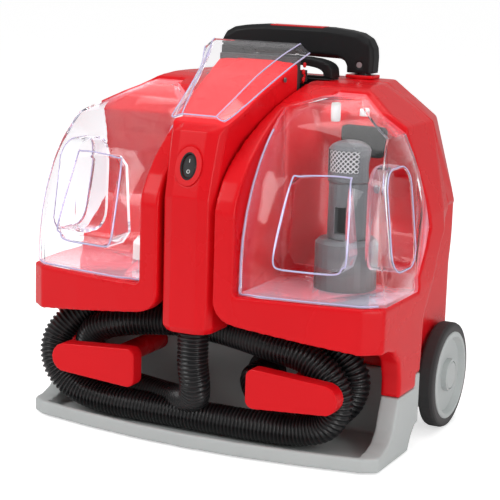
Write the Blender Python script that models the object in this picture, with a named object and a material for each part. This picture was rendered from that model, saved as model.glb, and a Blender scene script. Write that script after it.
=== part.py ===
"""Portable carpet cleaner: a tray base on two wheels, a red body that holds a clean tank and a waste
tank, a hand tool docked in the middle, its hose wound round two pads, and a telescopic handle.
Metres, +Z up. The front faces -Y. The origin is on the floor, under the middle of the machine."""
import math

import bmesh
import bpy
from mathutils import Vector

# ---------------------------------------------------------------- driving dimensions (metres)
GAP = 0.0003                 # clearance between pieces that touch
RUN = 0.0015                 # clearance round a piece that lifts out or slides
WALL = 0.0035                # casing walls

HALF_WIDTH = 0.2005          # casing, from the middle to the side face
REAR_HALF_WIDTH = HALF_WIDTH - 0.0170   # casing between the wheels
FRONT_Y = -0.1430            # front of the casing in the middle
REAR_Y = 0.1300              # back of the casing
BODY_TOP = 0.3665            # flat top of the casing
FRONT_BOW = 0.0210           # how far the front falls back at the corner facet
FACET_X = HALF_WIDTH - 0.0185           # where the corner facet starts
FACET_DEPTH = 0.0160         # how far the facet falls back
BEVEL_Y = 0.068              # where the rear bevel starts

TRAY_BOTTOM = 0.0020
TRAY_FLOOR = 0.0080
LIP_TOP = 0.0170
LIP_WIDTH = 0.0060
LIP_SETBACK = 0.0080         # tray front behind the casing front
BASE_TOP = 0.0800            # joint between the tray and the casing
PILLAR_TOP = 0.0660
RECESS_HALF = HALF_WIDTH - 0.0205       # hose bay
RECESS_BACK = -0.0030
REAR_FLOOR = 0.0280          # underside between the wheels
FOOT_X = 0.150               # rubber feet under the tray
FOOT_Y = -0.090
FOOT_RADIUS = 0.012
FOOT_TOP = 0.0055

SEAT_Z = 0.1680              # shelf that the tanks stand on
BLOCK_BOTTOM = 0.1220        # lower edge of the front blocks at the corner
ARCH_HEIGHT = 0.1165         # of the leaning part of the front
ARCH_Z = BODY_TOP - ARCH_HEIGHT
ARCH_END_Y = 0.0450
ARCH_POWER = 1.55

TANK_IN = 0.0545             # inner side of a tank
TANK_SETBACK = 0.0055        # tank front behind the casing front
TANK_TOP = BODY_TOP - 0.0070
TANK_ARCH_Z = TANK_TOP - 0.1595
TANK_END_Y = 0.0170
TANK_ARCH_POWER = 1.80
TANK_WALL = 0.0025
GRIP_POCKET_DEPTH = 0.0300
CAP_X = 0.1000               # clean tank's valve
CAP_Y = -0.0400
CAP_RADIUS = 0.0160
PIPE_X = 0.1340              # waste tank's standpipe
PIPE_Y = -0.0500
PIPE_RADIUS = 0.0215
PIPE_TOP = 0.3200
COLLAR_RADIUS = 0.0315
COLLAR_TOP = 0.2220

WHEEL_RADIUS = 0.0570
WHEEL_Y = 0.0880
TYRE_WIDTH = 0.0172
TYRE_DEPTH = 0.0095
WHEEL_GAP = 0.0033           # between a wheel and the casing
WHEEL_IN = REAR_HALF_WIDTH + WHEEL_GAP
AXLE_RADIUS = 0.0040
TUB_HALF = 0.058             # tub under the carry handle
TUB_Y = 0.070
INLET_X = 0.030              # hose socket in the bay's back wall
INLET_Z = 0.057
SOCKET_RADIUS = 0.019
GLAND_X = -0.125             # mains cord gland
GLAND_Z = 0.105
SWITCH_X = 0.120             # power switch on the back
SWITCH_Z = 0.300

TUBE_X = 0.0770              # telescopic handle
TUBE_Y = 0.1130
TUBE_RADIUS = 0.0070
STAGE_WALL = 0.0017
STAGE_RADIUS = TUBE_RADIUS + GAP + STAGE_WALL
GRIP_HALF = 0.0925
GRIP_BOTTOM = BODY_TOP + 0.0060
GRIP_TOP = GRIP_BOTTOM + 0.0470
GRIP_DEPTH = 0.0240
BUTTON_HALF = 0.0320         # release button
TUBE_LOW = 0.1150            # lower end of the tubes
STAGE_TOP = BODY_TOP + 0.0050
GUIDE_LOW = BODY_TOP - 0.0645   # lower end of the guide sleeves

TOOL_HALF = 0.0285           # hand tool, half width of the stem
TOOL_FRONT = -0.1450
TOOL_BOTTOM = 0.1240
HEAD_HALF = 0.0460           # half width of the head at its mouth
HEAD_Y = 0.0100
BRUSH_RADIUS = 0.0150
BRUSH_Y = 0.0310
BRUSH_Z = ARCH_Z + 0.1220
TOOL_BACK = -0.0960          # back cover of the stem
COVER_TOP = 0.2320
ROCKER_Z = ARCH_Z + 0.0420   # rocker on the tool's front
ROCKER_HALF = 0.0080
ROCKER_TALL = 0.0125
TRIGGER_Z = 0.1950           # spray lever
HOSE_Y = -0.1200             # hose where it enters the tool
FACE_Z = ARCH_Z + 0.0120     # where the tool's front starts to lean back
FACE_LEAN = 0.2660
BEZEL_HALF = 0.0145          # raised ring round the rocker
BEZEL_TALL = 0.0190
BEZEL_PROUD = 0.0015

HOSE_DIAMETER = 0.0320
PAD_Z = 0.0740
PAD_FRONT = -0.1290
PAD_THICK = 0.0180
POST_RADIUS = 0.0110
MOTOR_X = 0.0                # vacuum motor
MOTOR_Y = 0.0750
PAD_X = 0.1040               # posts of the wrap pads
PAD_INNER = 0.0640
PAD_OUTER = 0.1640
ARCH_STEPS = 9               # straight runs in each curved front
ROUND_STEPS = 28             # sides of a round part

RED = (0.86, 0.012, 0.018)
GREY = (0.58, 0.61, 0.60)
BLACK = (0.012, 0.012, 0.013)
DARK_GREY = (0.11, 0.12, 0.125)
CLEAR = (0.92, 0.90, 0.95)
STEEL = (0.60, 0.61, 0.62)
WHITE = (0.85, 0.85, 0.85)


# ---------------------------------------------------------------- materials and mesh helpers
def finish(name, colour, roughness=0.4, metallic=0.0, transmission=0.0):
    material = bpy.data.materials.new(name)
    material.use_nodes = True
    shader = material.node_tree.nodes["Principled BSDF"]
    shader.inputs["Base Color"].default_value = (*colour, 1.0)
    shader.inputs["Roughness"].default_value = roughness
    shader.inputs["Metallic"].default_value = metallic
    shader.inputs["Transmission Weight"].default_value = transmission
    return material


def clear_scene():
    for old in list(bpy.data.objects):
        bpy.data.objects.remove(old, do_unlink=True)


def add(name, mesh, material=None):
    piece = bpy.data.objects.new(name, mesh)
    bpy.context.scene.collection.objects.link(piece)
    if material:
        mesh.materials.append(material)
    return piece


def solid(name, points, faces, material=None):
    """A closed mesh from points and faces, its faces turned outwards."""
    mesh = bpy.data.meshes.new(name)
    mesh.from_pydata([tuple(p) for p in points], [], faces)
    work = bmesh.new()
    work.from_mesh(mesh)
    bmesh.ops.remove_doubles(work, verts=work.verts, dist=1e-6)
    bmesh.ops.recalc_face_normals(work, faces=work.faces)
    work.to_mesh(mesh)
    work.free()
    return add(name, mesh, material)


def loft(name, rings, material=None):
    """A skin over rings of equally many points, closed with a cap at each end."""
    count = len(rings[0])
    points = [p for ring in rings for p in ring]
    faces = [list(range(count)), [(len(rings) - 1) * count + i for i in range(count)]]
    for level in range(len(rings) - 1):
        for i in range(count):
            j = (i + 1) % count
            low, high = level * count, (level + 1) * count
            faces.append([low + i, low + j, high + j, high + i])
    return solid(name, points, faces, material)


def place(axis, along, u, v):
    """A point from a distance along an axis and two coordinates across it, in XYZ order."""
    return {"X": (along, u, v), "Y": (u, along, v), "Z": (u, v, along)}[axis]


def prism(name, axis, outline, low, high, material=None):
    rings = [[place(axis, level, u, v) for u, v in outline] for level in (low, high)]
    return loft(name, rings, material)


def block(name, low, high, material=None):
    outline = [(low[0], low[1]), (high[0], low[1]), (high[0], high[1]), (low[0], high[1])]
    return prism(name, "Z", outline, low[2], high[2], material)


def circle(u, v, radius, steps=ROUND_STEPS):
    turn = 2 * math.pi / steps
    return [(u + radius * math.cos(turn * i), v + radius * math.sin(turn * i)) for i in range(steps)]


def rounded(u0, v0, u1, v1, radius, steps=4):
    """A rectangle with round corners."""
    points = []
    corners = ((u1 - radius, v0 + radius, -90), (u1 - radius, v1 - radius, 0),
               (u0 + radius, v1 - radius, 90), (u0 + radius, v0 + radius, 180))
    for cu, cv, start in corners:
        for i in range(steps + 1):
            angle = math.radians(start + 90 * i / steps)
            points.append((cu + radius * math.cos(angle), cv + radius * math.sin(angle)))
    return points


def rod(name, axis, centre, radius, low, high, material=None, steps=ROUND_STEPS):
    return prism(name, axis, circle(centre[0], centre[1], radius, steps), low, high, material)


def turned(name, axis, centre, profile, material=None, steps=ROUND_STEPS):
    """A turned piece: profile holds (distance along the axis, radius) pairs."""
    rings = [[place(axis, along, u, v) for u, v in circle(centre[0], centre[1], radius, steps)]
             for along, radius in profile]
    return loft(name, rings, material)


def combine(piece, other, operation):
    """Applies a Boolean of other to piece and removes other."""
    boolean = piece.modifiers.new("cut", "BOOLEAN")
    boolean.operation = operation
    boolean.solver = "EXACT"
    boolean.object = other
    bpy.context.view_layer.update()
    seen = piece.evaluated_get(bpy.context.evaluated_depsgraph_get())
    result = bpy.data.meshes.new_from_object(seen)
    piece.modifiers.clear()
    old = piece.data
    piece.data = result
    bpy.data.meshes.remove(old)
    bpy.data.objects.remove(other, do_unlink=True)
    return piece


def cut(piece, *others):
    for other in others:
        combine(piece, other, "DIFFERENCE")
    return piece


def weld(piece, *others):
    for other in others:
        combine(piece, other, "UNION")
    return piece


def keep(piece, *others):
    for other in others:
        combine(piece, other, "INTERSECT")
    return piece


def smooth(piece, angle=40):
    piece.data.shade_smooth()
    piece.data.set_sharp_from_angle(angle=math.radians(angle))
    return piece


def mirror_outline(half):
    """A full outline from its right half, which runs from the middle top to the middle bottom."""
    return half + [(-u, v) for u, v in reversed(half)]


# ---------------------------------------------------------------- shared shapes
def front_y(x):
    """Front of the casing at a distance x from the middle: bowed, with a facet at each corner."""
    reach = min(abs(x), FACET_X) / FACET_X
    y = FRONT_Y + FRONT_BOW * reach ** 2
    if abs(x) > FACET_X:
        y += FACET_DEPTH * (abs(x) - FACET_X) / (HALF_WIDTH - FACET_X)
    return y


def arch(y0, z0, y1, z1, power):
    """Points that rise from (y0, z0) and lean back to (y1, z1), on a quarter of a superellipse."""
    points = []
    for i in range(ARCH_STEPS + 1):
        angle = math.pi / 2 * i / ARCH_STEPS
        y = y1 - (y1 - y0) * math.cos(angle) ** (2 / power)
        z = z0 + (z1 - z0) * math.sin(angle) ** (2 / power)
        points.append((y, z))
    return points


def stations(first, last):
    """Distances from the middle where the bowed front gets a section."""
    inner = [0.080, 0.130, FACET_X]
    return [first] + [x for x in inner if first + 0.005 < x < last - 0.005] + [last]


def casing_section(x):
    y0 = front_y(x)
    return [(y0, PILLAR_TOP + GAP)] + arch(y0, ARCH_Z, ARCH_END_Y, BODY_TOP, ARCH_POWER) + [
        (REAR_Y, BODY_TOP), (REAR_Y, PILLAR_TOP + GAP)]


def casing_outline(inset=0.0, low=PILLAR_TOP + GAP):
    """Front view of the casing: sides lean in a little and the top corners are cut."""
    half = [(HALF_WIDTH - 0.0820 - inset * 0.4, BODY_TOP - inset), (HALF_WIDTH - 0.0240 - inset, BODY_TOP - 0.0350),
            (HALF_WIDTH - 0.0070 - inset, BODY_TOP - 0.1265), (HALF_WIDTH - inset, SEAT_Z + 0.004),
            (HALF_WIDTH - inset, low)]
    return mirror_outline(half)


def rear_outline(inset=0.0, low=PILLAR_TOP + GAP):
    """The same, pulled in at the back of the casing by the rear bevel."""
    half = [(HALF_WIDTH - 0.0915 - inset * 0.4, BODY_TOP - inset), (HALF_WIDTH - 0.0425 - inset, BODY_TOP - 0.0360),
            (HALF_WIDTH - 0.0155 - inset, BODY_TOP - 0.1305), (HALF_WIDTH - 0.020 - inset, SEAT_Z + 0.004),
            (HALF_WIDTH - 0.020 - inset, low)]
    return mirror_outline(half)


def casing_solid(name, material):
    sections = stations(0.034, HALF_WIDTH)
    xs = [-x for x in reversed(sections)] + sections
    body = loft(name, [[(x, y, z) for y, z in casing_section(x)] for x in xs], material)
    levels = ((-0.25, casing_outline()), (BEVEL_Y, casing_outline()), (REAR_Y + 0.001, rear_outline()))
    frame = loft("frame", [[(x, y, z) for x, z in outline] for y, outline in levels])
    return keep(body, frame)


def seam(offset):
    """Side view of the joint between the front and the rear casing, moved back by offset."""
    line = [(0.0030, 0.0600), (0.0030, BASE_TOP), (0.0060, 0.1380), (0.0370, 0.1810),
            (0.0540, 0.2020), (0.0960, BODY_TOP - 0.1265), (BEVEL_Y, BODY_TOP - 0.0330),
            (0.0880, BODY_TOP - 0.0180), (0.0880, BODY_TOP + 0.1000)]
    return [(y + offset, z) for y, z in line]


def tank_back(offset):
    """Side view of the wall behind a tank, moved forward by offset."""
    line = [(-0.0140, SEAT_Z), (-0.0120, SEAT_Z + 0.015), (0.0160, SEAT_Z + 0.042),
            (0.0290, SEAT_Z + 0.060), (0.0240, SEAT_Z + 0.087), (0.0050, TANK_TOP - 0.0595),
            (-0.0090, TANK_TOP - 0.0345), (-0.0060, TANK_TOP - 0.0175), (TANK_END_Y, TANK_TOP)]
    return [(y - offset, z) for y, z in line]


def dock_line(offset):
    """Side view of the cradle behind the hand tool, moved away from the tool by offset."""
    line = [(-0.0945, 0.0900), (-0.0945, ARCH_Z - 0.0140), (-0.0885, ARCH_Z + 0.0120), (-0.0760, ARCH_Z + 0.0340),
            (-0.0580, ARCH_Z + 0.0510), (-0.0290, ARCH_Z + 0.0660), (0.0020, ARCH_Z + 0.0790),
            (0.0530, ARCH_Z + 0.0880)]
    return [(y + offset, z - offset * 0.7) for y, z in line]


def inner_space():
    """The hollow behind the tanks and the cradle, for motor, fan and pump."""
    wall = WALL + 0.0005
    levels = ((-0.2, casing_outline(wall, 0.06)), (BEVEL_Y - 0.002, casing_outline(wall, 0.06)),
              (REAR_Y - WALL, rear_outline(wall, 0.06)))
    hollow = loft("hollow", [[(x, y, z) for x, z in outline] for y, outline in levels])
    back = [(y + wall, z) for y, z in tank_back(0.0)[1:]]
    side = [(0.0010, 0.0500), (0.0010, 0.1500)] + back + [
        (ARCH_END_Y, BODY_TOP - wall), (REAR_Y - WALL, BODY_TOP - wall), (REAR_Y - WALL, 0.0500)]
    keep(hollow, prism("side", "X", side, -0.3, 0.3))
    low = REAR_HALF_WIDTH - WALL
    top = BODY_TOP - 0.1190
    return cut(hollow, block("narrow", (low, -0.3, 0.0), (0.4, 0.3, top)),
               block("narrow_left", (-0.4, -0.3, 0.0), (-low, 0.3, top)))


def duct_space():
    """The hollow between the two tank bays, behind the cradle."""
    line = dock_line(WALL)
    side = [(line[1][0], 0.155), *line[1:-1], (ARCH_END_Y, line[-2][1]), (ARCH_END_Y, 0.155)]
    half = TANK_IN - WALL
    return prism("duct_space", "X", side, -half, half)


# ---------------------------------------------------------------- casing
def tank_bay(side):
    """What a tank bay takes out of the casing. side is 1 on the right and -1 on the left."""
    outline = [(-0.30, SEAT_Z)] + tank_back(0.0) + [(TANK_END_Y, 0.5), (-0.30, 0.5)]
    inner, outer = sorted((side * (TANK_IN - RUN), side * 0.3))
    bay = prism("bay", "X", outline, inner, outer)
    return cut(bay, inner_corner(side, 0.0))


def inner_corner(side, grow):
    """The top inner corner that the casing keeps in front of the dock."""
    plan = [(0.040, -0.0400), (TANK_IN + 0.002 + grow, -0.0320 - grow), (0.0900 + grow, 0.0040 - grow),
            (0.0900 + grow, 0.1), (0.040, 0.1)]
    return prism("corner", "Z", [(side * x, y) for x, y in plan], 0.0, 0.6)


def dock_cut():
    """The cradle: its side view, no wider than the hand tool and its running clearance."""
    line = dock_line(0.0)
    outline = [(-0.3, line[0][1])] + line + [(line[-1][0], 0.5), (-0.3, 0.5)]
    cradle = prism("cradle", "X", outline, -0.1, 0.1)
    stem, head = TOOL_HALF + 2 * RUN, HEAD_HALF + RUN
    half = [(stem, -0.3), (stem, -0.119), (head, HEAD_Y), (head, 0.054)]
    return keep(cradle, prism("plan", "Z", half + [(-x, y) for x, y in reversed(half)], 0.0, 0.6))


def recess_cuts():
    """The open bay under the blocks, where the hose is wound."""
    turn_radius = 0.036
    corner = [(-0.0560 - turn_radius * (1 - math.cos(math.radians(a))),
               BLOCK_BOTTOM - turn_radius * (1 - math.sin(math.radians(a)))) for a in (90, 60, 30, 0)]
    side = [(-0.3, 0.0), (-0.3, BLOCK_BOTTOM)] + corner + [(-0.0560, 0.0)]
    front = prism("front", "X", side, -0.3, 0.3)
    half = [(0.0315, ARCH_Z), (0.0315, 0.158), (0.0350, 0.149), (0.0420, 0.142), (0.0530, 0.1380),
            (RECESS_HALF, BLOCK_BOTTOM), (RECESS_HALF, -0.1)]
    bay = prism("bay", "Y", mirror_outline(half), -0.3, -0.0945)
    deep = block("deep", (-RECESS_HALF, -0.12, -0.1), (RECESS_HALF, RECESS_BACK, 0.150))
    return front, bay, deep


def front_shell(red):
    shell = casing_solid("front_shell", red)
    line = seam(-GAP / 2)
    keep(shell, prism("before", "X", [(-0.3, 0.0)] + [(line[0][0], 0.0)] + line + [(-0.3, 0.5)], -0.3, 0.3))
    cut(shell, *recess_cuts())
    cut(shell, tank_bay(1), tank_bay(-1), dock_cut(), inner_space(), duct_space())
    cut(shell, block("step", (-0.3, -0.0090, 0.0), (0.3, 0.1, BASE_TOP + GAP)))
    tub = TUB_HALF + GAP
    cut(shell, prism("tub_hole", "Z", rounded(-tub, TUB_Y - 0.016, tub, TUB_Y + 0.016, 0.010),
                     0.3, BODY_TOP + 0.1))
    return smooth(shell, 30)


def rear_shell(red):
    shell = cut(casing_solid("rear_shell", red), inner_space())
    line = seam(GAP / 2)
    keep(shell, prism("behind", "X", line + [(0.3, BODY_TOP + 0.1), (0.3, 0.06)], -0.3, 0.3))
    for side in (-1, 1):
        inner, outer = sorted((side * REAR_HALF_WIDTH, side * 0.4))
        low_side = [(0.0, 0.0), (0.0, 0.181), (0.0540, 0.2020), (0.0960, BODY_TOP - 0.1265),
                    (0.3, BODY_TOP - 0.1265), (0.3, 0.0)]
        cut(shell, prism("low_side", "X", low_side, inner, outer))
    cut(shell, block("step", (-0.3, -0.3, 0.0), (0.3, 0.3, BASE_TOP + GAP)))
    for side in (-1, 1):
        cut(shell, rod("guide_hole", "Z", (side * TUBE_X, TUBE_Y), STAGE_RADIUS + 0.003 + GAP, 0.3, 0.5))
    cut(shell, prism("vent", "Y", rounded(-0.060, 0.145, 0.060, 0.215, 0.008), 0.1, 0.2))
    cut(shell, rod("gland_hole", "Y", (GLAND_X, GLAND_Z), 0.0090 + GAP, 0.1, 0.2))
    cut(shell, prism("switch_hole", "Y", rounded(SWITCH_X - 0.0152, SWITCH_Z - 0.0112, SWITCH_X + 0.0152,
                                                SWITCH_Z + 0.0112, 0.002), 0.1, 0.2))
    return smooth(shell, 30)


def base_tray(grey):
    tray_front = LIP_SETBACK
    xs = [0.0, 0.06, 0.12, FACET_X + 0.004]
    half = [(x, front_y(min(x, FACET_X)) + tray_front) for x in xs]
    corner_y = half[-1][1] + 0.0090
    plan = half + [(HALF_WIDTH, corner_y), (HALF_WIDTH, 0.0030), (REAR_HALF_WIDTH, 0.0030),
                   (REAR_HALF_WIDTH, REAR_Y - 0.002), (0.0, REAR_Y - 0.002)]
    full = plan + [(-x, y) for x, y in reversed(plan[1:-1])]
    tray = prism("base_tray", "Z", full, TRAY_BOTTOM, BASE_TOP, grey)
    side = [(-0.3, TRAY_BOTTOM), (0.0010, TRAY_BOTTOM), (0.0070, REAR_FLOOR - 0.002),
            (0.1180, REAR_FLOOR), (0.2, 0.045), (0.2, BASE_TOP), (-0.0090, BASE_TOP),
            (-0.0090, PILLAR_TOP), (-0.0560, PILLAR_TOP), (-0.0580, 0.0600), (-0.0640, 0.0460),
            (-0.0680, 0.0340), (-0.0770, 0.0240), (-0.0920, 0.0185), (-0.1080, LIP_TOP), (-0.3, LIP_TOP)]
    keep(tray, prism("side", "X", side, -0.3, 0.3))
    rise = [(-0.0240, -0.1), (-0.0240, TRAY_BOTTOM), (-0.0140, 0.0180), (-0.0040, REAR_FLOOR - 0.002),
            (0.0200, REAR_FLOOR - 0.002), (0.0200, -0.1)]
    cut(tray, prism("rise", "X", rise, RECESS_HALF + 0.001, 0.3), prism("rise", "X", rise, -0.3, -RECESS_HALF - 0.001))
    inner = [(x * 0.972, y + LIP_WIDTH) for x, y in half] + [(RECESS_HALF, RECESS_BACK), (0.0, RECESS_BACK)]
    bay = inner + [(-x, y) for x, y in reversed(inner[1:-1])]
    cut(tray, prism("bay", "Z", bay, TRAY_FLOOR, 0.3))
    cut(tray, block("well", (-REAR_HALF_WIDTH + WALL, 0.0030, REAR_FLOOR + 0.008),
                    (REAR_HALF_WIDTH - WALL, REAR_Y - 0.002 - WALL, 0.3)))
    cut(tray, rod("axle_hole", "X", (WHEEL_Y, WHEEL_RADIUS), AXLE_RADIUS + GAP, -0.3, 0.3, steps=16))
    cut(tray, rod("hose_port", "Y", (INLET_X, INLET_Z), SOCKET_RADIUS + GAP, -0.02, 0.02))
    for side in (-1, 1):
        cut(tray, rod("foot_hole", "Z", (side * FOOT_X, FOOT_Y), FOOT_RADIUS + GAP, -0.1, FOOT_TOP, steps=16))
        cut(tray, rod("post_hole", "Y", (side * PAD_X, PAD_Z), POST_RADIUS * 0.5 + GAP, -0.01, 0.01, steps=16))
    return smooth(tray, 30)


def feet(rubber):
    for side, word in ((-1, "left"), (1, "right")):
        smooth(rod("foot_" + word, "Z", (side * FOOT_X, FOOT_Y), FOOT_RADIUS, 0.0, FOOT_TOP - GAP, rubber, 16))


def carry_handle(black):
    """A black tub let into the top, and the arched grip that bridges it."""
    low, high = TUB_Y - 0.016, TUB_Y + 0.016
    tub = prism("handle_tub", "Z", rounded(-TUB_HALF, low, TUB_HALF, high, 0.010), BODY_TOP - 0.030,
                BODY_TOP + 0.0020, black)
    rim = prism("rim", "Z", rounded(-TUB_HALF - 0.006, low - 0.0015, TUB_HALF + 0.006, high + 0.0015, 0.012),
                BODY_TOP + GAP, BODY_TOP + 0.0020)
    weld(tub, rim)
    cut(tub, prism("inside", "Z", rounded(-TUB_HALF + 0.002, low + 0.002, TUB_HALF - 0.002, high - 0.002, 0.008),
                   BODY_TOP - 0.028, BODY_TOP + 0.1))
    smooth(tub, 35)
    foot, top, thick = BODY_TOP + 0.0020 + GAP, BODY_TOP + 0.0230, 0.0085
    outer = [(-TUB_HALF - 0.006, foot)] + handle_curve(TUB_HALF + 0.006, foot, top) + [(TUB_HALF + 0.006, foot)]
    inner = handle_curve(TUB_HALF - 0.004, foot, top - thick)
    outline = outer + [(TUB_HALF - 0.004, foot)] + list(reversed(inner)) + [(-TUB_HALF + 0.004, foot)]
    grip = prism("carry_handle", "Y", outline, TUB_Y - 0.011, TUB_Y + 0.011, black)
    smooth(grip, 35)


def handle_curve(half, low, high):
    points = []
    for i in range(1, 12):
        angle = math.pi * (1 - i / 12)
        x = half * math.copysign(abs(math.cos(angle)) ** 0.55, math.cos(angle))
        points.append((x, low + (high - low) * math.sin(angle) ** 0.55))
    return points


# ---------------------------------------------------------------- tanks
def tank_section(x, shrink):
    """Side view of a tank. shrink moves every wall inwards, for the hollow."""
    y0 = front_y(x) + TANK_SETBACK + shrink
    if x < 0.060 + shrink * 2:
        y0 += 0.0060
    low, high = SEAT_Z + GAP + shrink, TANK_TOP - shrink
    back = [(y - RUN - shrink, min(max(z, low), high)) for y, z in tank_back(0.0)]
    return [(y0, low)] + arch(y0, TANK_ARCH_Z, back[-1][0], high, TANK_ARCH_POWER) + back[::-1][1:]


def tank_outline(shrink):
    inner = TANK_IN + shrink
    outer = HALF_WIDTH - 0.0010 - shrink
    return [(inner, TANK_TOP - shrink), (outer - 0.0780 + shrink * 0.6, TANK_TOP - shrink),
            (outer - 0.0225, TANK_TOP - 0.0335 - shrink * 0.5), (outer - 0.0135, TANK_TOP - 0.0745),
            (outer, SEAT_Z + 0.005), (outer, SEAT_Z - 0.01), (inner, SEAT_Z - 0.01)]


def tank_solid(name, side, shrink, material=None):
    xs = [TANK_IN + shrink] + [0.080, 0.130, FACET_X] + [HALF_WIDTH + 0.002]
    body = loft(name, [[(side * x, y, z) for y, z in tank_section(x, shrink)] for x in xs], material)
    outline = [(side * x, z) for x, z in tank_outline(shrink)]
    keep(body, prism("outline", "Y", outline, -0.3, 0.3))
    return cut(body, inner_corner(side, RUN + shrink))


def grip_pockets(side, grow):
    """The finger pocket in a tank's front and the thumb pocket in its side, grown for the hollow."""
    reach = GRIP_POCKET_DEPTH
    front = [(0.1010 - grow, 0.2000 - grow), (0.1500 + grow, 0.2000 - grow), (0.1585 + grow, 0.2060 - grow),
             (0.1620 + grow, 0.2160), (0.1540 + grow, 0.2810), (0.1490 + grow, 0.2880 + grow),
             (0.1050 - grow, 0.2860 + grow), (0.0970 - grow, 0.2790), (0.0925 - grow, 0.2100)]
    front_back = front_y(0.130) + TANK_SETBACK + reach + grow
    first = prism("front_pocket", "Y", [(side * x, z) for x, z in front], -0.3, front_back)
    slot = rounded(-0.0780 - grow, 0.1970 - grow, -0.0160 + grow, 0.2950 + grow, 0.020 + grow)
    inner, outer = sorted((side * (HALF_WIDTH - 0.0315 - grow), side * 0.3))
    second = prism("side_pocket", "X", slot, inner, outer)
    return first, second


def tank_shell(name, side, material):
    shell = tank_solid(name, side, 0.0, material)
    cut(shell, *grip_pockets(side, 0.0))
    hollow = tank_solid("hollow", side, TANK_WALL)
    cut(hollow, *grip_pockets(side, TANK_WALL))
    return cut(shell, hollow)


def clean_tank(clear, white, black):
    shell = tank_shell("clean_tank", -1, clear)
    cut(shell, rod("valve_hole", "Z", (-CAP_X, CAP_Y), CAP_RADIUS * 0.6, SEAT_Z - 0.05, SEAT_Z + 0.02, steps=20))
    smooth(shell, 30)
    bore, low = CAP_RADIUS * 0.6 - GAP, SEAT_Z + 2 * GAP
    profile = [(low, bore), (low + TANK_WALL + GAP, bore), (low + TANK_WALL + GAP, CAP_RADIUS),
               (low + 0.0200, CAP_RADIUS), (low + 0.0260, CAP_RADIUS * 0.7)]
    smooth(turned("clean_tank_valve", "Z", (-CAP_X, CAP_Y), profile, white, 20))


def waste_tank(clear, grey, mesh_grey, white):
    shell = tank_shell("waste_tank", 1, clear)
    neck = COLLAR_RADIUS - 0.006
    cut(shell, rod("neck_hole", "Z", (PIPE_X, PIPE_Y), neck, SEAT_Z - 0.05, SEAT_Z + 0.02))
    smooth(shell, 30)
    low = SEAT_Z + 2 * GAP
    inside = low + TANK_WALL + GAP
    profile = [(low, neck - GAP), (inside, neck - GAP), (inside, COLLAR_RADIUS),
               (COLLAR_TOP - 0.0040, COLLAR_RADIUS), (COLLAR_TOP, COLLAR_RADIUS - 0.004)]
    collar = turned("waste_tank_collar", "Z", (PIPE_X, PIPE_Y), profile, grey)
    cut(collar, rod("bore", "Z", (PIPE_X, PIPE_Y), PIPE_RADIUS * 0.6, 0.1, 0.3, steps=20))
    smooth(collar)
    foot, head = COLLAR_TOP + GAP, PIPE_TOP - 0.0420
    bore = PIPE_RADIUS * 0.6
    pipe = turned("standpipe", "Z", (PIPE_X, PIPE_Y), [(foot, PIPE_RADIUS * 0.92), (head, PIPE_RADIUS * 0.92),
                  (head + 0.0020, PIPE_RADIUS), (PIPE_TOP - 0.0085, PIPE_RADIUS), (PIPE_TOP - 0.0045, PIPE_RADIUS * 0.84),
                  (PIPE_TOP - 0.0015, PIPE_RADIUS * 0.58), (PIPE_TOP, PIPE_RADIUS * 0.25)], grey)
    low, high = PIPE_TOP - 0.0310, PIPE_TOP - 0.0090
    cut(pipe, rod("bore", "Z", (PIPE_X, PIPE_Y), bore, 0.1, low, steps=20),
        rod("chamber", "Z", (PIPE_X, PIPE_Y), PIPE_RADIUS - 0.0025, low - 0.0090, high + 0.0005, steps=20),
        block("window", (PIPE_X - 0.0165, PIPE_Y - 0.04, low), (PIPE_X + 0.0165, PIPE_Y, high)),
        block("drain", (PIPE_X - 0.0060, PIPE_Y - 0.04, foot + 0.0060), (PIPE_X + 0.0060, PIPE_Y, foot + 0.0330)))
    smooth(pipe)
    screen = rod("inlet_screen", "Z", (PIPE_X, PIPE_Y), PIPE_RADIUS - 0.0008, low + GAP, high - GAP, mesh_grey, 24)
    cut(screen, rod("bore", "Z", (PIPE_X, PIPE_Y), PIPE_RADIUS - 0.0023, 0.2, 0.4, steps=24),
        block("back", (PIPE_X - 0.04, PIPE_Y - 0.0131 + 0.0004, 0.2), (PIPE_X + 0.04, PIPE_Y + 0.04, 0.4)))
    smooth(screen)
    travel_low = PIPE_TOP - 0.0370
    ball = [(travel_low, 0.004), (travel_low + 0.003, 0.0100), (travel_low + 0.008, 0.0120),
            (travel_low + 0.013, 0.0100), (travel_low + 0.016, 0.004)]
    smooth(turned("waste_float", "Z", (PIPE_X, PIPE_Y), ball, white, 16), 60)


def outlet_filter(black):
    """The foam block at the waste tank's air outlet, high on its back wall."""
    prism("outlet_filter", "Y", rounded(PIPE_X - 0.022, PIPE_TOP - 0.020, PIPE_X + 0.025, PIPE_TOP + 0.0110, 0.004),
          PIPE_Y + PIPE_RADIUS + 0.0060, PIPE_Y + PIPE_RADIUS + 0.0145, black)


# ---------------------------------------------------------------- hand tool
def on_face(z):
    """The leaning part of the tool's front, where the rocker is."""
    return TOOL_FRONT + (z - FACE_Z) * FACE_LEAN


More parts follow.
